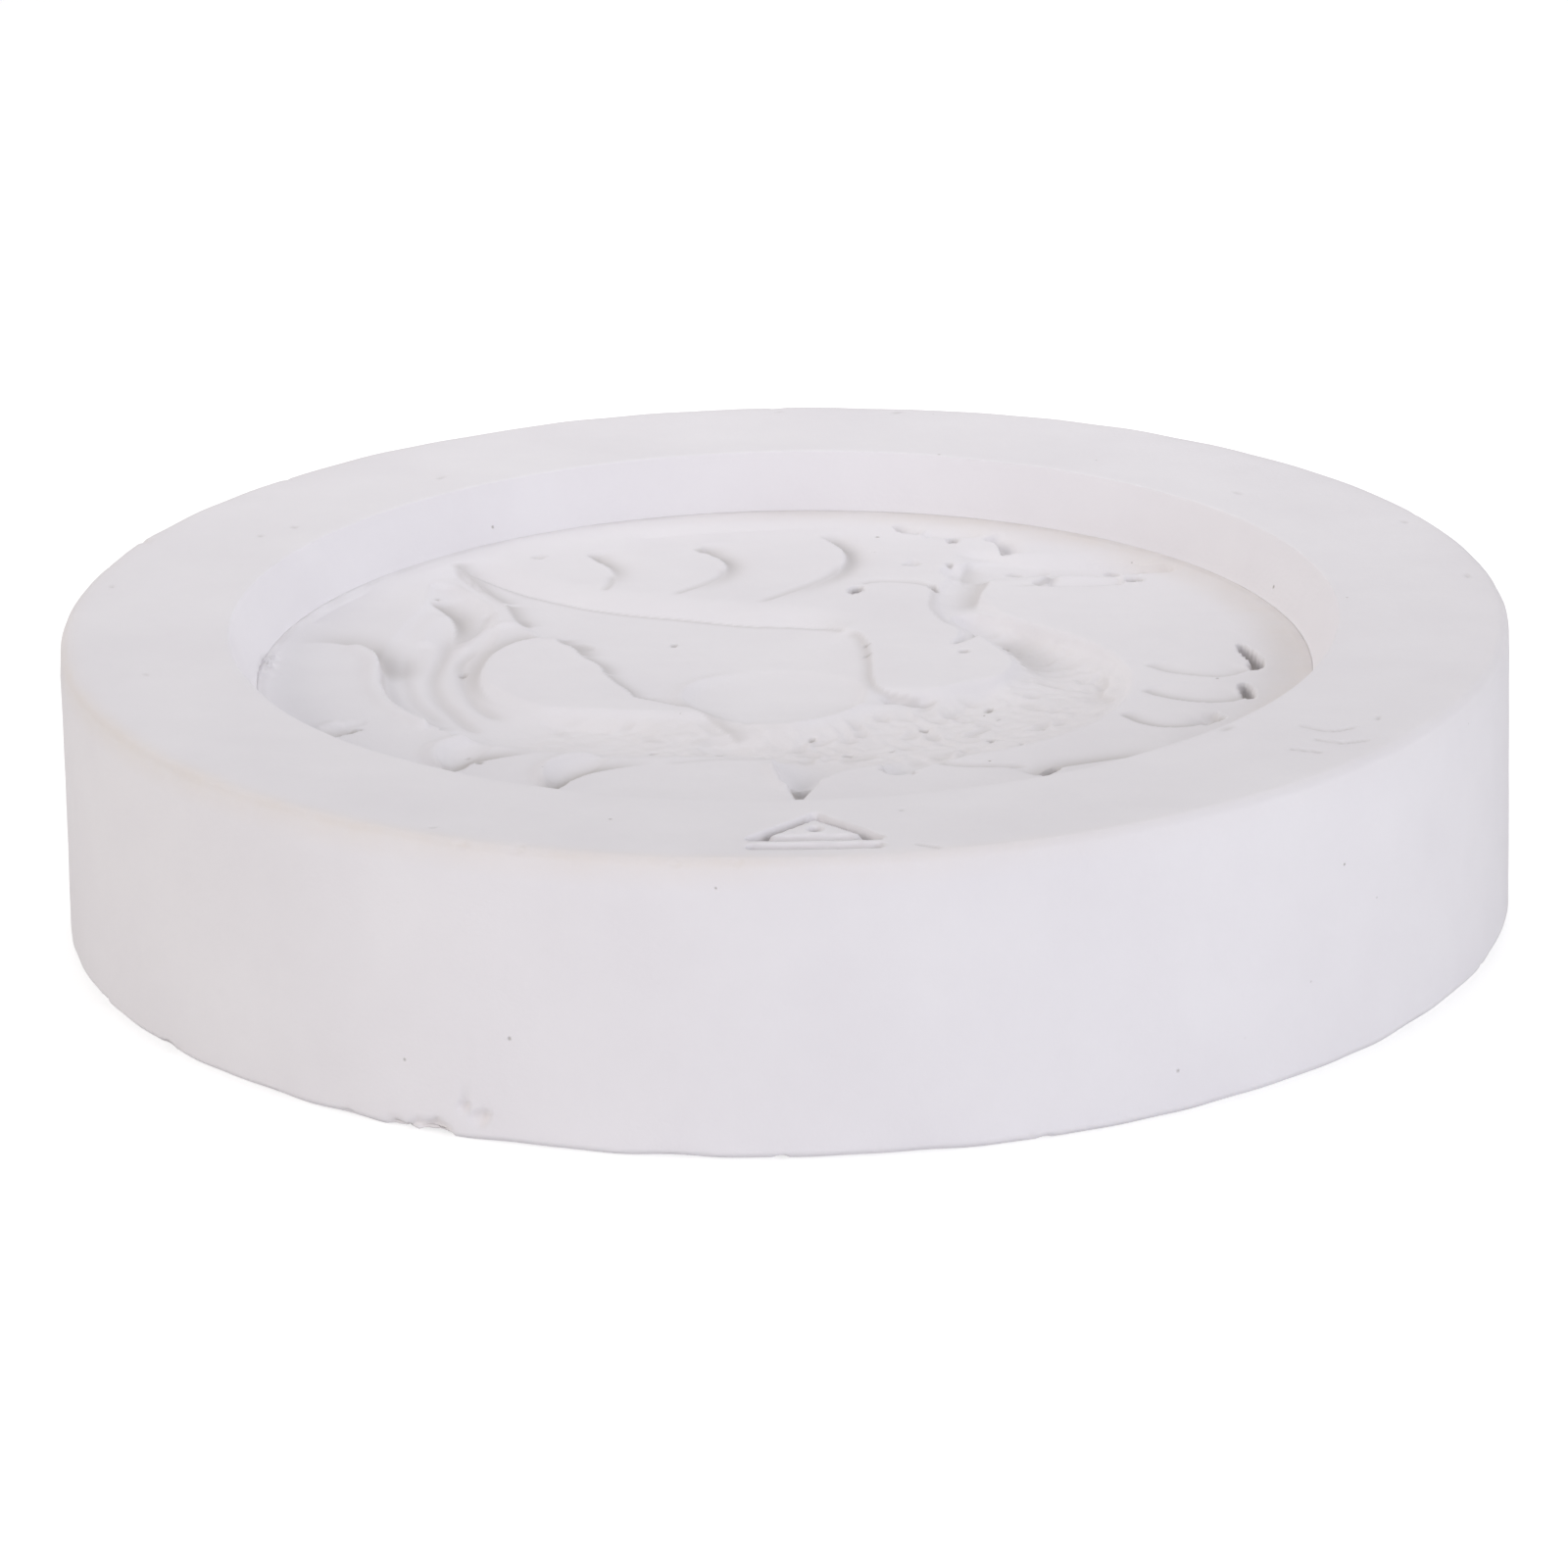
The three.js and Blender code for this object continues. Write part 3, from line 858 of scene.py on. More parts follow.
@dataclass
class Surface:
    """A closed surface before it is a mesh.

    Attributes:
        points: Its points in metres, one a row.
        faces: Its faces, as arrays of corner indices with one width each.
        values: Named values for each point, which the finish reads.
    """

    points: np.ndarray
    faces: list[np.ndarray]
    values: dict[str, np.ndarray] = field(default_factory=dict)

    def to_object(self, name: str) -> bpy.types.Object:
        """Makes the surface an object in the scene.

        Args:
            name: The object's name.

        Returns:
            The object.
        """
        mesh = bpy.data.meshes.new(name)
        corners = np.concatenate([block.ravel() for block in self.faces]).astype(np.int32)
        counts = np.concatenate([np.full(len(block), block.shape[1]) for block in self.faces])
        starts = (np.cumsum(counts) - counts).astype(np.int32)
        mesh.vertices.add(len(self.points))
        mesh.vertices.foreach_set("co", self.points.astype(np.float32).ravel())
        mesh.loops.add(len(corners))
        mesh.loops.foreach_set("vertex_index", corners)
        mesh.polygons.add(len(counts))
        mesh.polygons.foreach_set("loop_start", starts)
        mesh.polygons.foreach_set("use_smooth", np.ones(len(counts), bool))
        for key, values in self.values.items():
            layer = mesh.attributes.new(key, "FLOAT", "POINT")
            layer.data.foreach_set("value", values.astype(np.float32))
        mesh.update(calc_edges=True)
        mesh.validate()
        piece = bpy.data.objects.new(name, mesh)
        bpy.context.scene.collection.objects.link(piece)
        return piece


def straight(start: tuple[float, float], end: tuple[float, float], steps: int) -> np.ndarray:
    """A straight stretch of a section, its end left out.

    Args:
        start: Its first point.
        end: The point where the next stretch starts.
        steps: How many points it has.

    Returns:
        The points, one a row.
    """
    share = np.linspace(0.0, 1.0, steps, endpoint=False)[:, None]
    return mixed(np.asarray(start, float), np.asarray(end, float), share)


def arc(centre: tuple[float, float], radius: float, low: float, high: float, steps: int) -> np.ndarray:
    """A round stretch of a section, its end left out.

    Args:
        centre: The arc's centre.
        radius: Its radius.
        low: The angle of its start in degrees.
        high: The angle of its end in degrees.
        steps: How many points it has.

    Returns:
        The points, one a row.
    """
    angle = np.radians(np.linspace(low, high, steps, endpoint=False))
    return np.column_stack([centre[0] + radius * np.cos(angle), centre[1] + radius * np.sin(angle)])


def strip(first: np.ndarray, second: np.ndarray) -> np.ndarray:
    """The quads between two rows of as many points, each quad turned the same way.

    Args:
        first: The first row's point indices.
        second: The second row's point indices.

    Returns:
        The quads, one a row.
    """
    return np.column_stack([first[:-1], first[1:], second[1:], second[:-1]])


def closed(row: np.ndarray) -> np.ndarray:
    """A row of indices with the first one repeated at its end."""
    return np.append(row, row[0])


# ------------------------------------------------------------------ finishes


def linear(colour: str) -> tuple[float, float, float, float]:
    """The linear colour of an sRGB hex value.

    Args:
        colour: Such as "#DAD7DD".

    Returns:
        Linear red, green and blue, and an alpha of 1.
    """
    parts = [int(colour[i : i + 2], 16) / 255.0 for i in (1, 3, 5)]
    red, green, blue = (p / 12.92 if p <= 0.04045 else ((p + 0.055) / 1.055) ** 2.4 for p in parts)
    return red, green, blue, 1.0


def add_node(
    tree: bpy.types.NodeTree, kind: str, settings: dict | None = None, inputs: dict | None = None
) -> bpy.types.Node:
    """Adds a node with its settings, values and links.

    Args:
        tree: The node tree.
        kind: The node's type.
        settings: Properties of the node and their values.
        inputs: Input sockets, by name or number, each with a value or with the socket that feeds it.

    Returns:
        The node.
    """
    node = tree.nodes.new(kind)
    for key, value in (settings or {}).items():
        setattr(node, key, value)
    for key, value in (inputs or {}).items():
        if isinstance(value, bpy.types.NodeSocket):
            tree.links.new(value, node.inputs[key])
        else:
            node.inputs[key].default_value = value
    return node


@dataclass(frozen=True)
class CastPlaster:
    """Pottery plaster, poured and left as it came from the form: chalk white, dead matt, with air bubbles.

    Attributes:
        name: The material's name.
        body: The plaster's own colour.
        shade: The slightly greyer colour of its soft mottling.
        worn: The warm cream of edges rubbed by hands and clay; on the plate it is also painted along the
            right wall as warm shade.
        painted_shade: The grey painted as shade in hollows, creases and bubbles.
        mottle_mm: The size of the mottling.
        bubble_cell_mm: The spacing of the air bubbles, of which only some are open.
        bubble_share: The share of bubbles that are open.
        bubble_mm: The radius of the largest open bubble.
        patch_mm: The size of the patches in which an edge is worn.
        lump_mm: The size of the skin's low lumps.
        grain_mm: The size of the skin's grain, as coarse as it needs to show.
        relief_mm: How far the grain and lumps stand up.
    """

    name: str
    body: str = "#E9E7EA"
    shade: str = "#DFDCE0"
    worn: str = "#DFD3C6"
    painted_shade: str = "#A39D98"
    mottle_mm: float = 22.0
    bubble_cell_mm: float = 4.6
    bubble_share: float = 0.15
    bubble_mm: float = 0.42
    patch_mm: float = 7.0
    lump_mm: float = 5.0
    grain_mm: float = 0.7
    relief_mm: float = 0.08

    def build(self) -> bpy.types.Material:
        """Makes the material.

        Returns:
            The material.
        """
        material = bpy.data.materials.new(self.name)
        material.use_nodes = True
        tree = material.node_tree
        tree.nodes.clear()
        place = add_node(tree, "ShaderNodeTexCoord").outputs["Object"]
        per_mm = 1.0 / MM

        # Mottling: water that left the plaster unevenly gives it soft greyer clouds.
        clouds = add_node(
            tree,
            "ShaderNodeTexNoise",
            inputs={"Vector": place, "Scale": per_mm / self.mottle_mm, "Detail": 4.0, "Roughness": 0.55},
        )
        tone = add_node(
            tree,
            "ShaderNodeMix",
            {"data_type": "RGBA"},
            {"Factor": clouds.outputs["Fac"], "A": linear(self.body), "B": linear(self.shade)},
        )
        # Wear: rubbed edges turn cream, in patches. On the plate the same cream is also painted along the
        # right wall's foot as warm shade.
        wear_and_painted_shade = add_node(tree, "ShaderNodeAttribute", {"attribute_name": "wear_and_painted_shade"})
        patches = add_node(
            tree,
            "ShaderNodeTexNoise",
            inputs={"Vector": place, "Scale": per_mm / self.patch_mm, "Detail": 5.0, "Roughness": 0.7},
        )
        rubbed = add_node(
            tree,
            "ShaderNodeMath",
            {"operation": "MULTIPLY"},
            {0: wear_and_painted_shade.outputs["Fac"], 1: patches.outputs["Fac"]},
        )
        warm = add_node(
            tree,
            "ShaderNodeMix",
            {"data_type": "RGBA"},
            {"Factor": rubbed.outputs[0], "A": tone.outputs["Result"], "B": linear(self.worn)},
        )
        # Hollows: painted shade, a grey mixed in by the hollow attribute, darkens creases, grooves and pits.
        sunk = add_node(tree, "ShaderNodeAttribute", {"attribute_name": "hollow"})
        # Bubbles: a few cells of a Voronoi pattern hold an open bubble under 1 mm across, dented by the bump
        # and darkened by painted shade.
        cells = add_node(
            tree,
            "ShaderNodeTexVoronoi",
            {"feature": "F1"},
            {"Vector": place, "Scale": per_mm / self.bubble_cell_mm, "Randomness": 1.0},
        )
        draw = add_node(tree, "ShaderNodeSeparateColor", inputs={"Color": cells.outputs["Color"]})
        radius = add_node(
            tree,
            "ShaderNodeMapRange",
            {"clamp": True},
            {
                "Value": draw.outputs["Red"],
                "From Min": 1.0 - self.bubble_share,
                "From Max": 1.0,
                "To Min": 0.0,
                "To Max": self.bubble_mm / self.bubble_cell_mm,
            },
        )
        bubble = add_node(
            tree,
            "ShaderNodeMapRange",
            {"clamp": True, "interpolation_type": "SMOOTHSTEP"},
            {
                "Value": cells.outputs["Distance"],
                "From Min": 0.0,
                "From Max": radius.outputs["Result"],
                "To Min": 1.0,
                "To Max": 0.0,
            },
        )
        # Painted shade: the bubbles' dark and the hollows' grey, mixed into the colour below.
        painted_shade_mix = add_node(
            tree,
            "ShaderNodeMath",
            {"operation": "MULTIPLY_ADD", "use_clamp": True},
            {0: bubble.outputs["Result"], 1: 0.8, 2: sunk.outputs["Fac"]},
        )
        colour = add_node(
            tree,
            "ShaderNodeMix",
            {"data_type": "RGBA"},
            {"Factor": painted_shade_mix.outputs[0], "A": warm.outputs["Result"], "B": linear(self.painted_shade)},
        )
        # Grain: set plaster is a felt of fine needles, drawn here as coarse as it needs to show.
        grain = add_node(
            tree,
            "ShaderNodeTexNoise",
            inputs={"Vector": place, "Scale": per_mm / self.grain_mm, "Detail": 3.0, "Roughness": 0.6},
        )
        lumps = add_node(
            tree,
            "ShaderNodeTexNoise",
            inputs={"Vector": place, "Scale": per_mm / self.lump_mm, "Detail": 4.0, "Roughness": 0.6},
        )
        height = add_node(
            tree,
            "ShaderNodeMath",
            {"operation": "MULTIPLY_ADD"},
            {0: lumps.outputs["Fac"], 1: 2.0, 2: grain.outputs["Fac"]},
        )
        pricked = add_node(
            tree,
            "ShaderNodeMath",
            {"operation": "MULTIPLY_ADD"},
            {0: bubble.outputs["Result"], 1: -6.0, 2: height.outputs[0]},
        )
        bump = add_node(
            tree,
            "ShaderNodeBump",
            inputs={"Strength": 0.5, "Distance": self.relief_mm * MM, "Height": pricked.outputs[0]},
        )
        rough = add_node(
            tree,
            "ShaderNodeMapRange",
            inputs={"Value": lumps.outputs["Fac"], "To Min": 0.86, "To Max": 0.98},
        )
        shader = add_node(
            tree,
            "ShaderNodeBsdfPrincipled",
            inputs={
                "Base Color": colour.outputs["Result"],
                "Roughness": rough.outputs["Result"],
                "IOR": 1.52,
                "Specular IOR Level": 0.25,
                "Normal": bump.outputs["Normal"],
            },
        )
        add_node(tree, "ShaderNodeOutputMaterial", inputs={"Surface": shader.outputs["BSDF"]})
        return material


# ------------------------------------------------------------------ the case block


@dataclass(frozen=True)
class RegisterMark:
    """A generic register mark cut in the rim: a triangle that points to the recess, a pip and a bar.

    Attributes:
        place: The triangle's middle in mm.
        half_width: Half the triangle's base in mm.
        height: The triangle's height in mm.
        stroke: A stroke's width in mm.
        depth: A stroke's depth in mm.
        bar_drop: How far the bar lies below the base in mm.
    """

    place: tuple[float, float] = (3.5, -87.0)
    half_width: float = 9.0
    height: float = 11.0
    stroke: float = 2.0
    depth: float = 1.6
    bar_drop: float = 3.2

    def cut(self, x: np.ndarray, y: np.ndarray) -> tuple[np.ndarray, np.ndarray]:
        """Works out the mark's depth, each stroke a round-bottomed groove with a slight burr beside it.

        Args:
            x: The points' x in mm.
            y: The points' y in mm.

        Returns:
            The depth at each point in mm, and how far each point is inside a stroke, from 0 to 1.
        """
        middle, base = self.place[0], self.place[1] - 0.5 * self.height
        inset = 0.5 * self.stroke
        left, right = middle - self.half_width + inset, middle + self.half_width - inset
        tip = base + self.height - 1.5 * inset
        foot = base + inset
        bar = base - self.bar_drop + inset
        strokes = (
            ((left, foot), (right, foot)),
            ((left, foot), (middle, tip)),
            ((right, foot), (middle, tip)),
            ((left, bar), (right, bar)),
            ((middle, foot + 3.2), (middle, foot + 3.4)),
        )
        half = 0.5 * self.stroke
        depth, inside = np.zeros(len(x)), np.zeros(len(x))
        near = np.flatnonzero(np.hypot(x - middle, y - self.place[1]) < 2.0 * self.height)
        for stroke in strokes:
            away = np.abs(beside(x[near], y[near], np.asarray(stroke, float)).side)
            groove = 1.0 - smoothstep(0.35 * half, 1.15 * half, away)
            burr = 0.08 * np.exp(-(((away - 1.5 * half) / 0.5) ** 2))
            depth[near] = np.maximum(depth[near], self.depth * groove) - burr
            inside[near] = np.maximum(inside[near], groove)
        return depth, inside


@dataclass(frozen=True)
class Chip:
    """A flake knocked off the block's skin.

    Attributes:
        turn: Its place round the block in degrees, from +X.
        height: Its height above the underside in mm.
        size: Its half width and half height in mm.
        depth: Its depth in mm.
    """

    turn: float
    height: float
    size: tuple[float, float]
    depth: float


@dataclass
class CaseBlock:
    """The cast block: underside, side, rim with its mark, recess wall and the seat of the plate.

    Attributes:
        radius: The block's radius in mm.
        height: The block's height in mm.
        mouth_radius: The recess's radius at the rim in mm.
        floor_radius: The recess's radius at its floor in mm.
        floor_height: The floor's height in mm.
        seat_height: The height of the seat's bottom in mm.
        seat_taper: How much narrower the seat is at its bottom, in mm.
        edge_round: The rounding of the outer top edge in mm.
        lip_round: The rounding of the recess's lip in mm.
        foot_bevel: The bevel of the bottom edge in mm.
        chipped_height: The height in mm up to which the rows stand close enough for the chips.
        fine_radii: The inner and outer radius in mm between which the rows stand close enough for the mark.
        columns: Points round the block.
        front_share: How much closer the columns stand at the mark, from 0 to 1.
        mark: The mark in its rim.
    """

    radius: float
    height: float
    floor_height: float
    seat_height: float
    mouth_radius: float = 76.2
    floor_radius: float = 72.8
    seat_taper: float = 1.2
    edge_round: float = 1.6
    lip_round: float = 0.5
    foot_bevel: float = 0.6
    chipped_height: float = 5.6
    fine_radii: tuple[float, float] = (80.4, 97.0)
    columns: int = 926
    front_share: float = 0.55
    mark: RegisterMark = field(default_factory=RegisterMark)

    def _profile(self) -> tuple[np.ndarray, np.ndarray]:
        """The section from the underside's middle out, up, over the rim and down into the seat.

        Returns:
            The (radius, height) points in mm, and at each the share of the rim's flat face, from 0 to 1.
        """
        edge, lip, top = self.edge_round, self.lip_round, self.height
        foot, side = (self.radius - self.foot_bevel, 0.0), (self.radius, self.foot_bevel)
        scarred = (self.radius, self.chipped_height)
        fine_in, fine_out = ((radius, top) for radius in self.fine_radii)
        wall_top = (self.mouth_radius + 0.04, top - 0.7 * lip)
        wall_foot = (self.floor_radius + 0.35, self.floor_height + 0.55)
        crease = (self.floor_radius, self.floor_height)
        seat = (self.floor_radius - self.seat_taper, self.seat_height)
        blocks = [
            straight((self.radius * 0.35, 0.0), foot, 4),
            straight(foot, side, 3),
            straight(side, scarred, 9),
            straight(scarred, (self.radius, top - edge), 11),
            arc((self.radius - edge, top - edge), edge, 0.0, 90.0, 7),
            straight((self.radius - edge, top), fine_out, 3),
            straight(fine_out, fine_in, 46),
            straight(fine_in, (self.mouth_radius + lip, top), 4),
            arc((self.mouth_radius + lip, top - lip), lip, 90.0, 157.0, 4),
            straight(wall_top, wall_foot, 9),
            straight(wall_foot, crease, 3),
            straight(crease, seat, 2),
            np.array([seat, (30.0, self.seat_height)]),
        ]
        profile = np.vstack(blocks)
        flat = smoothstep(top - 0.3, top - 0.01, profile[:, 1])
        return profile, flat

    def _chips(self) -> list[Chip]:
        """The flakes: four near the foot at the front left, and small ones round the foot and the top edge.

        Returns:
            The chips.
        """
        rng = np.random.default_rng(SEED)
        chips = [
            Chip(-114.0, 3.4, (1.6, 1.3), 0.9),
            Chip(-115.5, 4.6, (0.9, 0.8), 0.6),
            Chip(-118.5, 0.6, (3.6, 1.4), 1.0),
            Chip(-121.5, 0.4, (2.2, 1.0), 0.7),
        ]
        for _ in range(26):
            size = rng.uniform(0.7, 1.9)
            chips.append(Chip(rng.uniform(-180, 180), rng.uniform(0.0, 0.9), (size, 0.5 * size), 0.25 * size))
        for _ in range(22):
            size = rng.uniform(0.5, 1.3)
            height = self.height - rng.uniform(0.0, 1.2)
            chips.append(Chip(rng.uniform(-180, 180), height, (size, 0.6 * size), 0.25 * size))
        return chips

    def surface(self) -> Surface:
        """Turns the section round the Z axis, and wears it.

        A point is pushed along the section's normal: by soft unevenness, in by the wear of the top edge and
        the foot, and in by the chips. The rim also goes down by the depth of the mark and of the scratches.

        Returns:
            The closed surface.
        """
        profile, flat = self._profile()
        share = np.linspace(-1.0, 1.0, self.columns, endpoint=False)
        turn = -0.5 * math.pi + math.pi * share - self.front_share * np.sin(math.pi * share)
        ahead = np.gradient(profile, axis=0)
        normal = np.column_stack([ahead[:, 1], -ahead[:, 0]])
        normal /= np.maximum(np.linalg.norm(normal, axis=1, keepdims=True), 1e-9)
        radius = profile[:, 0, None] * np.ones_like(turn)
        height = profile[:, 1, None] * np.ones_like(turn)
        around = np.stack([radius * np.cos(turn), radius * np.sin(turn), height], axis=-1).reshape(-1, 3)
        slow, quick = unrest(around, 46.0, SEED), unrest(around, 9.0, SEED + 1)
        seen = smoothstep(self.floor_height - 0.4, self.floor_height + 0.2, around[:, 2])
        out = np.hypot(around[:, 0], around[:, 1])
        outside = np.maximum(seen, smoothstep(self.radius - 12.0, self.radius - 8.0, out))
        push = outside * (0.09 * slow + 0.03 * quick - 0.16)
        edge = self._edge(profile)[:, None] * np.ones_like(turn)
        rim_walk = unrest(np.column_stack([100 * np.cos(turn), 100 * np.sin(turn)]), 16.0, SEED + 2)
        push -= (edge * (0.16 + 0.07 * rim_walk + 0.05 * quick.reshape(edge.shape))).ravel()
        foot = np.exp(-((profile[:, 1] / 0.9) ** 2)) * (profile[:, 0] > 0.9 * self.radius)
        push -= (foot[:, None] * (0.12 + 0.12 * rim_walk)).ravel()
        scars = self._scars(around, turn)
        push -= scars
        mark, carved = self.mark.cut(around[:, 0], around[:, 1])
        nicks = self._nicks(around[:, 0], around[:, 1])
        flat_all = (flat[:, None] * np.ones_like(turn)).ravel()
        radial = np.repeat(normal[:, 0], len(turn)) * push
        out_x, out_y = np.cos(turn), np.sin(turn)
        points = around.copy()
        points[:, 0] += radial * np.tile(out_x, len(profile))
        points[:, 1] += radial * np.tile(out_y, len(profile))
        points[:, 2] += np.repeat(normal[:, 1], len(turn)) * push
        sink = (mark + 0.22 * nicks) * flat_all
        points[:, 2] -= sink + 0.25 * carved * flat_all * unrest(around, 1.8, SEED + 3)
        points[:, 2] = np.clip(points[:, 2], 0.0, self.height)
        left = smoothstep(0.35, 0.95, np.tile(np.cos(turn - math.radians(236.0)), len(profile)))
        wear_and_painted_shade = np.clip(edge.ravel() * (0.12 + 0.42 * left) + 0.4 * np.clip(scars, 0.0, 1.0), 0.0, 1.0)
        # Painted shade: grey in the mark's grooves and the rim's scratches.
        hollow = np.clip((0.55 * carved**2 + 0.3 * nicks) * flat_all, 0.0, 1.0)
        return self._closed(points, profile, turn, {"wear_and_painted_shade": wear_and_painted_shade, "hollow": hollow})

    def _nicks(self, x: np.ndarray, y: np.ndarray) -> np.ndarray:
        """The fine scratches and pin-pricks on the rim, each exp(-(distance / half width)^2).

        Args:
            x: The points' x in mm.
            y: The points' y in mm.

        Returns:
            How far each point is inside one, from 0 to 1.
        """
        rng = np.random.default_rng(SEED + 5)
        lines = [
            ((68.6, -50.0), (72.4, -52.6), (75.6, -51.4)),
            ((70.4, -55.8), (73.6, -57.6), (77.0, -56.8)),
            ((66.8, -59.4), (70.6, -61.0)),
            ((57.2, -51.8), (59.8, -50.0)),
            ((16.6, -94.6), (19.4, -95.8)),
        ]
        for _ in range(14):
            turn, out = rng.uniform(0.0, 2.0 * math.pi), rng.uniform(79.0, 97.0)
            start = np.array([out * math.cos(turn), out * math.sin(turn)])
            lines.append((start, start + rng.normal(0.0, 0.5, 2)))
        inside = np.zeros(len(x))
        for line in lines:
            points = np.asarray(line, float)
            low, high = points.min(axis=0) - 2.0, points.max(axis=0) + 2.0
            at = np.flatnonzero((x > low[0]) & (x < high[0]) & (y > low[1]) & (y < high[1]))
            away = beside(x[at], y[at], flowing(points)).side
            inside[at] = np.maximum(inside[at], np.exp(-((away / 0.3) ** 2)))
        return inside

    def _edge(self, profile: np.ndarray) -> np.ndarray:
        """How near each point of the section is to the outer top edge.

        Args:
            profile: The section's (radius, height) points in mm.

        Returns:
            A value from 0 to 1 for each point.
        """
        corner = np.array([self.radius - 0.35 * self.edge_round, self.height - 0.35 * self.edge_round])
        away = np.linalg.norm(profile - corner, axis=1)
        return np.exp(-((away / (1.1 * self.edge_round)) ** 2))

    def _scars(self, around: np.ndarray, turn: np.ndarray) -> np.ndarray:
        """The depth of all chips at each point: a dome cut, 1 - r^2, with a ragged outline.

        Args:
            around: The points in mm.
            turn: The columns' angles.

        Returns:
            The depth at each point in mm.
        """
        depth = np.zeros(len(around))
        rag = 0.25 * unrest(around, 2.6, SEED + 4)
        columns = np.tile(turn, len(around) // len(turn))
        on_side = np.hypot(around[:, 0], around[:, 1]) > self.radius - 2.5
        for chip in self._chips():
            swing = np.angle(np.exp(1j * (columns - math.radians(chip.turn)))) * self.radius
            rise = around[:, 2] - chip.height
            radius = np.hypot(swing / chip.size[0], rise / chip.size[1]) + rag
            depth += on_side * chip.depth * np.clip(1.0 - radius**2, 0.0, 1.0)
        return depth

    def _closed(
        self, points: np.ndarray, profile: np.ndarray, turn: np.ndarray, values: dict[str, np.ndarray]
    ) -> Surface:
        """Joins the rows into a closed surface with a pole under the block and one in its seat.

        Args:
            points: The grid's points in mm, row by row.
            profile: The section.
            turn: The columns' angles.
            values: The values at each point.

        Returns:
            The surface in metres.
        """
        rows, columns = len(profile), len(turn)
        index = np.arange(rows * columns).reshape(rows, columns)
        quads = [strip(closed(index[row]), closed(index[row + 1])) for row in range(rows - 1)]
        under, seat = rows * columns, rows * columns + 1
        ends = []
        for row, pole in ((index[0][::-1], under), (index[-1], seat)):
            ring = closed(row)
            ends.append(np.column_stack([ring[:-1], ring[1:], np.full(columns, pole)]))
        poles = np.array([[0.0, 0.0, profile[0, 1]], [0.0, 0.0, profile[-1, 1]]])
        spread = {key: np.append(value, [0.0, 0.0]) for key, value in values.items()}
        return Surface(np.vstack([points, poles]) * MM, [np.vstack(quads), np.vstack(ends)], spread)

    def build(self, finish: CastPlaster) -> bpy.types.Object:
        """Makes the block, in place of its CAD node.

        Args:
            finish: Its plaster.

        Returns:
            The block's object.
        """
        piece = self.surface().to_object("case_block_cast")
        piece.data.materials.append(finish.build())
        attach(piece, BODY)
        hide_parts("case_block")
        return piece


# ------------------------------------------------------------------ the face plate


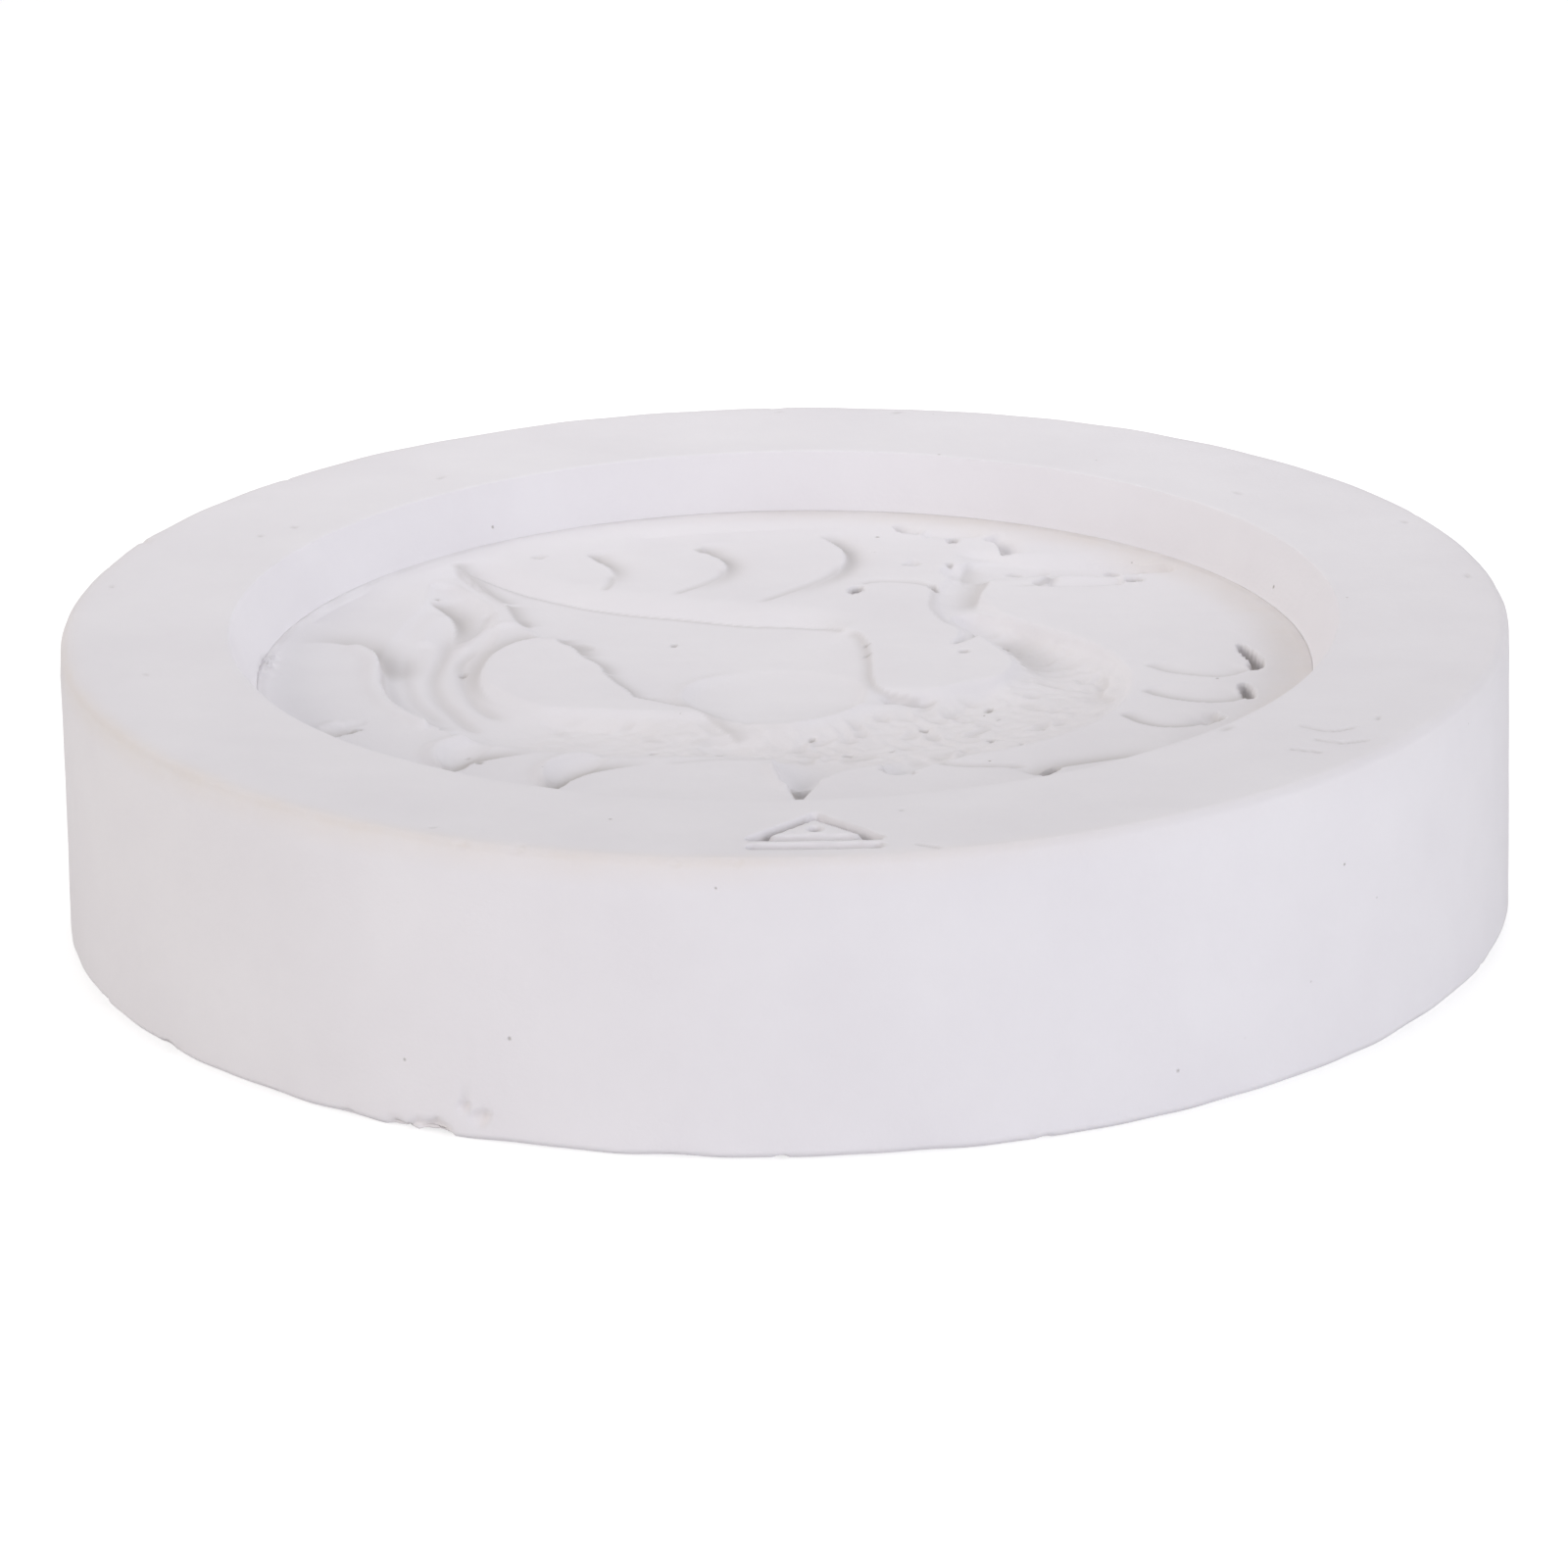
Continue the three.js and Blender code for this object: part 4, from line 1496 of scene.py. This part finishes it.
@dataclass
class FacePlate:
    """The tapered plate whose upper face is the recess's floor.

    Attributes:
        radius: The plate's radius at its upper face in mm.
        top: The height of the upper face in mm.
        bottom: The height of the underside in mm.
        taper: How much narrower the underside is, in mm.
        cells: Cells along the two sides of the grid that is mapped to the disc; the relief is finer across.
        drawing: The relief's drawing.
    """

    radius: float
    top: float
    bottom: float
    taper: float = 1.2
    cells: tuple[int, int] = (380, 250)
    drawing: DragonDrawing = field(default_factory=DragonDrawing)

    def _disc(self) -> tuple[np.ndarray, np.ndarray]:
        """A square grid mapped to the disc: x = u * sqrt(1 - v^2 / 2), y = v * sqrt(1 - u^2 / 2).

        Returns:
            The points' x and y in mm.
        """
        across, along = (np.linspace(-1.0, 1.0, cells + 1) for cells in self.cells)
        u, v = (grid.ravel() for grid in np.meshgrid(across, along))
        return u * np.sqrt(1.0 - 0.5 * v**2) * self.radius, v * np.sqrt(1.0 - 0.5 * u**2) * self.radius

    def surface(self) -> Surface:
        """Carves the upper face and closes the plate with its tapered side and its underside.

        Returns:
            The closed surface.
        """
        x, y = self._disc()
        relief = Relief(x, y)
        self.drawing.carve(relief)
        flat = np.column_stack([x, y])
        depth = relief.depth + 0.05 * unrest(flat, 30.0, SEED + 10) + 0.03 * unrest(flat, 7.0, SEED + 11)
        depth += 0.06 * relief.worked * unrest(flat, 2.2, SEED + 12)
        out = np.hypot(x, y)
        depth *= 1.0 - smoothstep(self.radius - 1.6, self.radius - 0.3, out)
        depth -= self._flash(x, y, out)
        columns, rows = (cells + 1 for cells in self.cells)
        index = np.arange(columns * rows).reshape(rows, columns)
        quads = [strip(index[row], index[row + 1]) for row in range(rows - 1)]
        rim = np.concatenate([index[0, :-1], index[:-1, -1], index[-1, :0:-1], index[:0:-1, 0]])
        shrink = (self.radius - self.taper) / self.radius
        low = np.arange(len(rim)) + len(x)
        pole = len(x) + len(rim)
        side = strip(closed(low), closed(rim))
        ring = closed(low)
        under = np.column_stack([ring[1:], ring[:-1], np.full(len(low), pole)])
        top = np.column_stack([x, y, self.top - depth])
        foot = np.column_stack([x[rim] * shrink, y[rim] * shrink, np.full(len(rim), self.bottom)])
        points = np.vstack([top, foot, [[0.0, 0.0, self.bottom]]])
        extra = len(rim) + 1
        # Painted shade by the recess wall: a band along the wall on the right side, and a thin line at the
        # wall's foot all round.
        near_wall = smoothstep(self.radius - 9.0, self.radius - 1.0, out)
        right_side_shade = smoothstep(-0.1, 0.8, (x + 0.35 * y) / np.maximum(out, 1.0))
        wall_foot_shade = smoothstep(self.radius - 1.5, self.radius - 0.8, out)
        wall_foot_shade *= 0.6 + 0.5 * unrest(flat, 7.0, SEED + 14)
        # Wear: a faint cream on the scaled forms; the cream in the band by the right wall is painted warm
        # shade.
        wear_and_painted_shade = np.append(0.12 * relief.worked + 0.5 * near_wall * right_side_shade, np.zeros(extra))
        # Painted shade: the relief's own, more where it is over 1.8 mm deep, with the grey of the wall band
        # and the foot line.
        painted_shade_mix = relief.painted_shade + 0.25 * smoothstep(1.8, 4.2, relief.depth)
        painted_shade_mix = np.clip(painted_shade_mix + 0.1 * near_wall * right_side_shade + 0.1 * np.clip(wall_foot_shade, 0.0, 1.0), 0.0, 1.0)
        hollow = np.append(painted_shade_mix, np.zeros(extra))
        return Surface(points * MM, [np.vstack(quads + [side]), under], {"wear_and_painted_shade": wear_and_painted_shade, "hollow": hollow})

    def _flash(self, x: np.ndarray, y: np.ndarray, out: np.ndarray) -> np.ndarray:
        """The ragged scrap of flash left at the foot of the recess wall on its left side.

        Args:
            x: The points' x in mm.
            y: The points' y in mm.
            out: The points' distance from the middle in mm.

        Returns:
            Its height at each point in mm.
        """
        turn = np.degrees(np.arctan2(y, x))
        swing = np.abs(np.angle(np.exp(1j * np.radians(turn - 175.0)), deg=True))
        stretch = 1.0 - smoothstep(2.0, 5.5, swing)
        band = np.exp(-(((out - (self.radius - 1.1)) / 0.9) ** 2))
        rag = np.clip(unrest(np.column_stack([x, y]), 1.9, SEED + 13) + 0.3, 0.0, 1.2)
        return 0.75 * stretch * band * rag

    def build(self, finish: CastPlaster) -> bpy.types.Object:
        """Makes the plate, in place of its CAD node.

        Args:
            finish: Its plaster.

        Returns:
            The plate's object.
        """
        piece = self.surface().to_object("face_plate_cast")
        piece.data.materials.append(finish.build())
        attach(piece, BODY)
        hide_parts("face_plate")
        return piece


# ------------------------------------------------------------------ studio


@dataclass(frozen=True)
class Softbox:
    """A square area light.

    Attributes:
        name: Its name.
        place: Where it stands in metres.
        size: Its side in metres.
        power: Its power in watts.
        colour: Its colour.
        target: Where it points, in metres.
    """

    name: str
    place: tuple[float, float, float]
    size: float
    power: float
    colour: str
    target: tuple[float, float, float] = (0.0, 0.0, 0.02)

    def build(self) -> None:
        """Adds the light, turned to its target."""
        light = bpy.data.lights.new(self.name, "AREA")
        light.size = self.size
        light.energy = self.power
        light.color = linear(self.colour)[:3]
        lamp = bpy.data.objects.new(self.name, light)
        way = np.asarray(self.target) - np.asarray(self.place)
        back = -way / np.linalg.norm(way)
        right = np.cross([0.0, 0.0, 1.0], back)
        right /= np.linalg.norm(right)
        up = np.cross(back, right)
        lamp.matrix_world = Matrix(
            [[right[i], up[i], back[i], self.place[i]] for i in range(3)] + [[0.0, 0.0, 0.0, 1.0]]
        )
        bpy.context.scene.collection.objects.link(lamp)


@dataclass
class Studio:
    """A plain white floor, soft light and the camera.

    Attributes:
        block_height: The block's height in metres.
        pitch: How far the camera looks down, in degrees.
        roll: The camera's roll in degrees.
        distance: From the camera to its target in metres.
        lens: The lens in mm, on a 36 mm sensor.
        aim: The target's x, and its depth below the rim, in metres.
        ambient: The strength of the light from all round.
        boxes: The area lights.
        glow: How strongly the floor glows on the object, and how strongly it glows where it is seen.
    """

    block_height: float
    pitch: float = 19.21
    roll: float = -1.10
    distance: float = 1.3963
    lens: float = 231.1
    aim: tuple[float, float] = (-0.0004, 0.0246)
    ambient: float = 0.31
    glow: tuple[float, float] = (0.2, 0.62)
    boxes: tuple[Softbox, ...] = (
        Softbox("left_softbox", (-1.6, -0.7, 0.9), 1.0, 11.1, "#FFF9F2"),
        Softbox("right_softbox", (1.6, -0.7, 0.9), 1.0, 4.5, "#F6FAFC"),
        Softbox("front_right_softbox", (0.9, -1.3, 0.45), 0.8, 10.3, "#F6F6FF"),
        Softbox("front_left_softbox", (-0.9, -1.3, 0.45), 0.8, 2.9, "#FBF5F9"),
        Softbox("low_left_softbox", (-1.6, 0.0, 0.3), 0.8, 1.8, "#FFFAF0"),
        Softbox("low_right_softbox", (1.6, 0.0, 0.3), 0.8, 1.9, "#FFF8EE"),
        Softbox("overhead_softbox", (0.0, 0.25, 0.42), 0.35, 1.0, "#FAF9FB"),
    )

    def camera(self) -> None:
        """Places the camera: it looks along +Y and down by the pitch, and rolls about its own axis."""
        pitch, roll = math.radians(self.pitch), math.radians(self.roll)
        ahead = np.array([0.0, math.cos(pitch), -math.sin(pitch)])
        up = np.array([0.0, math.sin(pitch), math.cos(pitch)])
        right = np.array([1.0, 0.0, 0.0])
        right, up = math.cos(roll) * right + math.sin(roll) * up, math.cos(roll) * up - math.sin(roll) * right
        target = np.array([self.aim[0], 0.0, self.block_height - self.aim[1]])
        place = target - ahead * self.distance
        data = bpy.data.cameras.new("camera")
        data.sensor_width = 36.0
        data.lens = self.lens
        camera = bpy.data.objects.new("camera", data)
        camera.matrix_world = Matrix(
            [[right[i], up[i], -ahead[i], place[i]] for i in range(3)] + [[0.0, 0.0, 0.0, 1.0]]
        )
        bpy.context.scene.collection.objects.link(camera)
        bpy.context.scene.camera = camera

    def floor(self) -> None:
        """Lays a wide white floor that glows, less on the object than where it is seen, so it stays white."""
        half = 6.0
        corners = np.array([[-half, -half, 0.0], [half, -half, 0.0], [half, half, 0.0], [-half, half, 0.0]])
        floor = Surface(corners - [0.0, 0.0, 0.0002], [np.array([[0, 1, 2, 3]])]).to_object("floor")
        material = bpy.data.materials.new("white_paper_floor")
        material.use_nodes = True
        shader = material.node_tree.nodes["Principled BSDF"]
        shader.inputs["Base Color"].default_value = linear("#C8C8C8")
        shader.inputs["Roughness"].default_value = 0.9
        shader.inputs["Specular IOR Level"].default_value = 0.0
        shader.inputs["Emission Color"].default_value = linear("#FFFFFF")
        tree = material.node_tree
        seen = add_node(tree, "ShaderNodeLightPath").outputs["Is Camera Ray"]
        levels = {"Value": seen, "To Min": self.glow[0], "To Max": self.glow[1]}
        glow = add_node(tree, "ShaderNodeMapRange", inputs=levels)
        tree.links.new(glow.outputs["Result"], shader.inputs["Emission Strength"])
        floor.data.materials.append(material)

    def build(self) -> None:
        """Builds the camera, floor, lights and the even light from all round."""
        self.camera()
        self.floor()
        for box in self.boxes:
            box.build()
        world = bpy.data.worlds.new("soft_white_room")
        bpy.context.scene.world = world
        world.use_nodes = True
        sky = world.node_tree.nodes["Background"]
        sky.inputs["Color"].default_value = linear("#FFFFFF")
        sky.inputs["Strength"].default_value = self.ambient
        bpy.context.scene.view_settings.view_transform = "Standard"


def main() -> None:
    """Builds the studio, the block and the plate, in that order."""
    logging.basicConfig(level=logging.INFO, format="%(name)s: %(message)s")
    block_low, block_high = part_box("case_block")
    plate_low, plate_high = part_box("face_plate")
    Studio(block_height=block_high.z).build()
    block = CaseBlock(
        radius=block_high.x / MM,
        height=block_high.z / MM,
        floor_height=plate_high.z / MM,
        seat_height=plate_low.z / MM - SEAT_GAP_MM,
    )
    plate = FacePlate(
        radius=plate_high.x / MM + PLATE_LAP_MM,
        top=plate_high.z / MM,
        bottom=plate_low.z / MM,
    )
    pieces = [
        block.build(CastPlaster("cast_pottery_plaster_block")),
        plate.build(CastPlaster("cast_pottery_plaster_face", bubble_share=0.3)),
    ]
    for piece in pieces:
        log.info("%s: %d points, %d faces", piece.name, len(piece.data.vertices), len(piece.data.polygons))


if __name__ == "__main__":
    main()
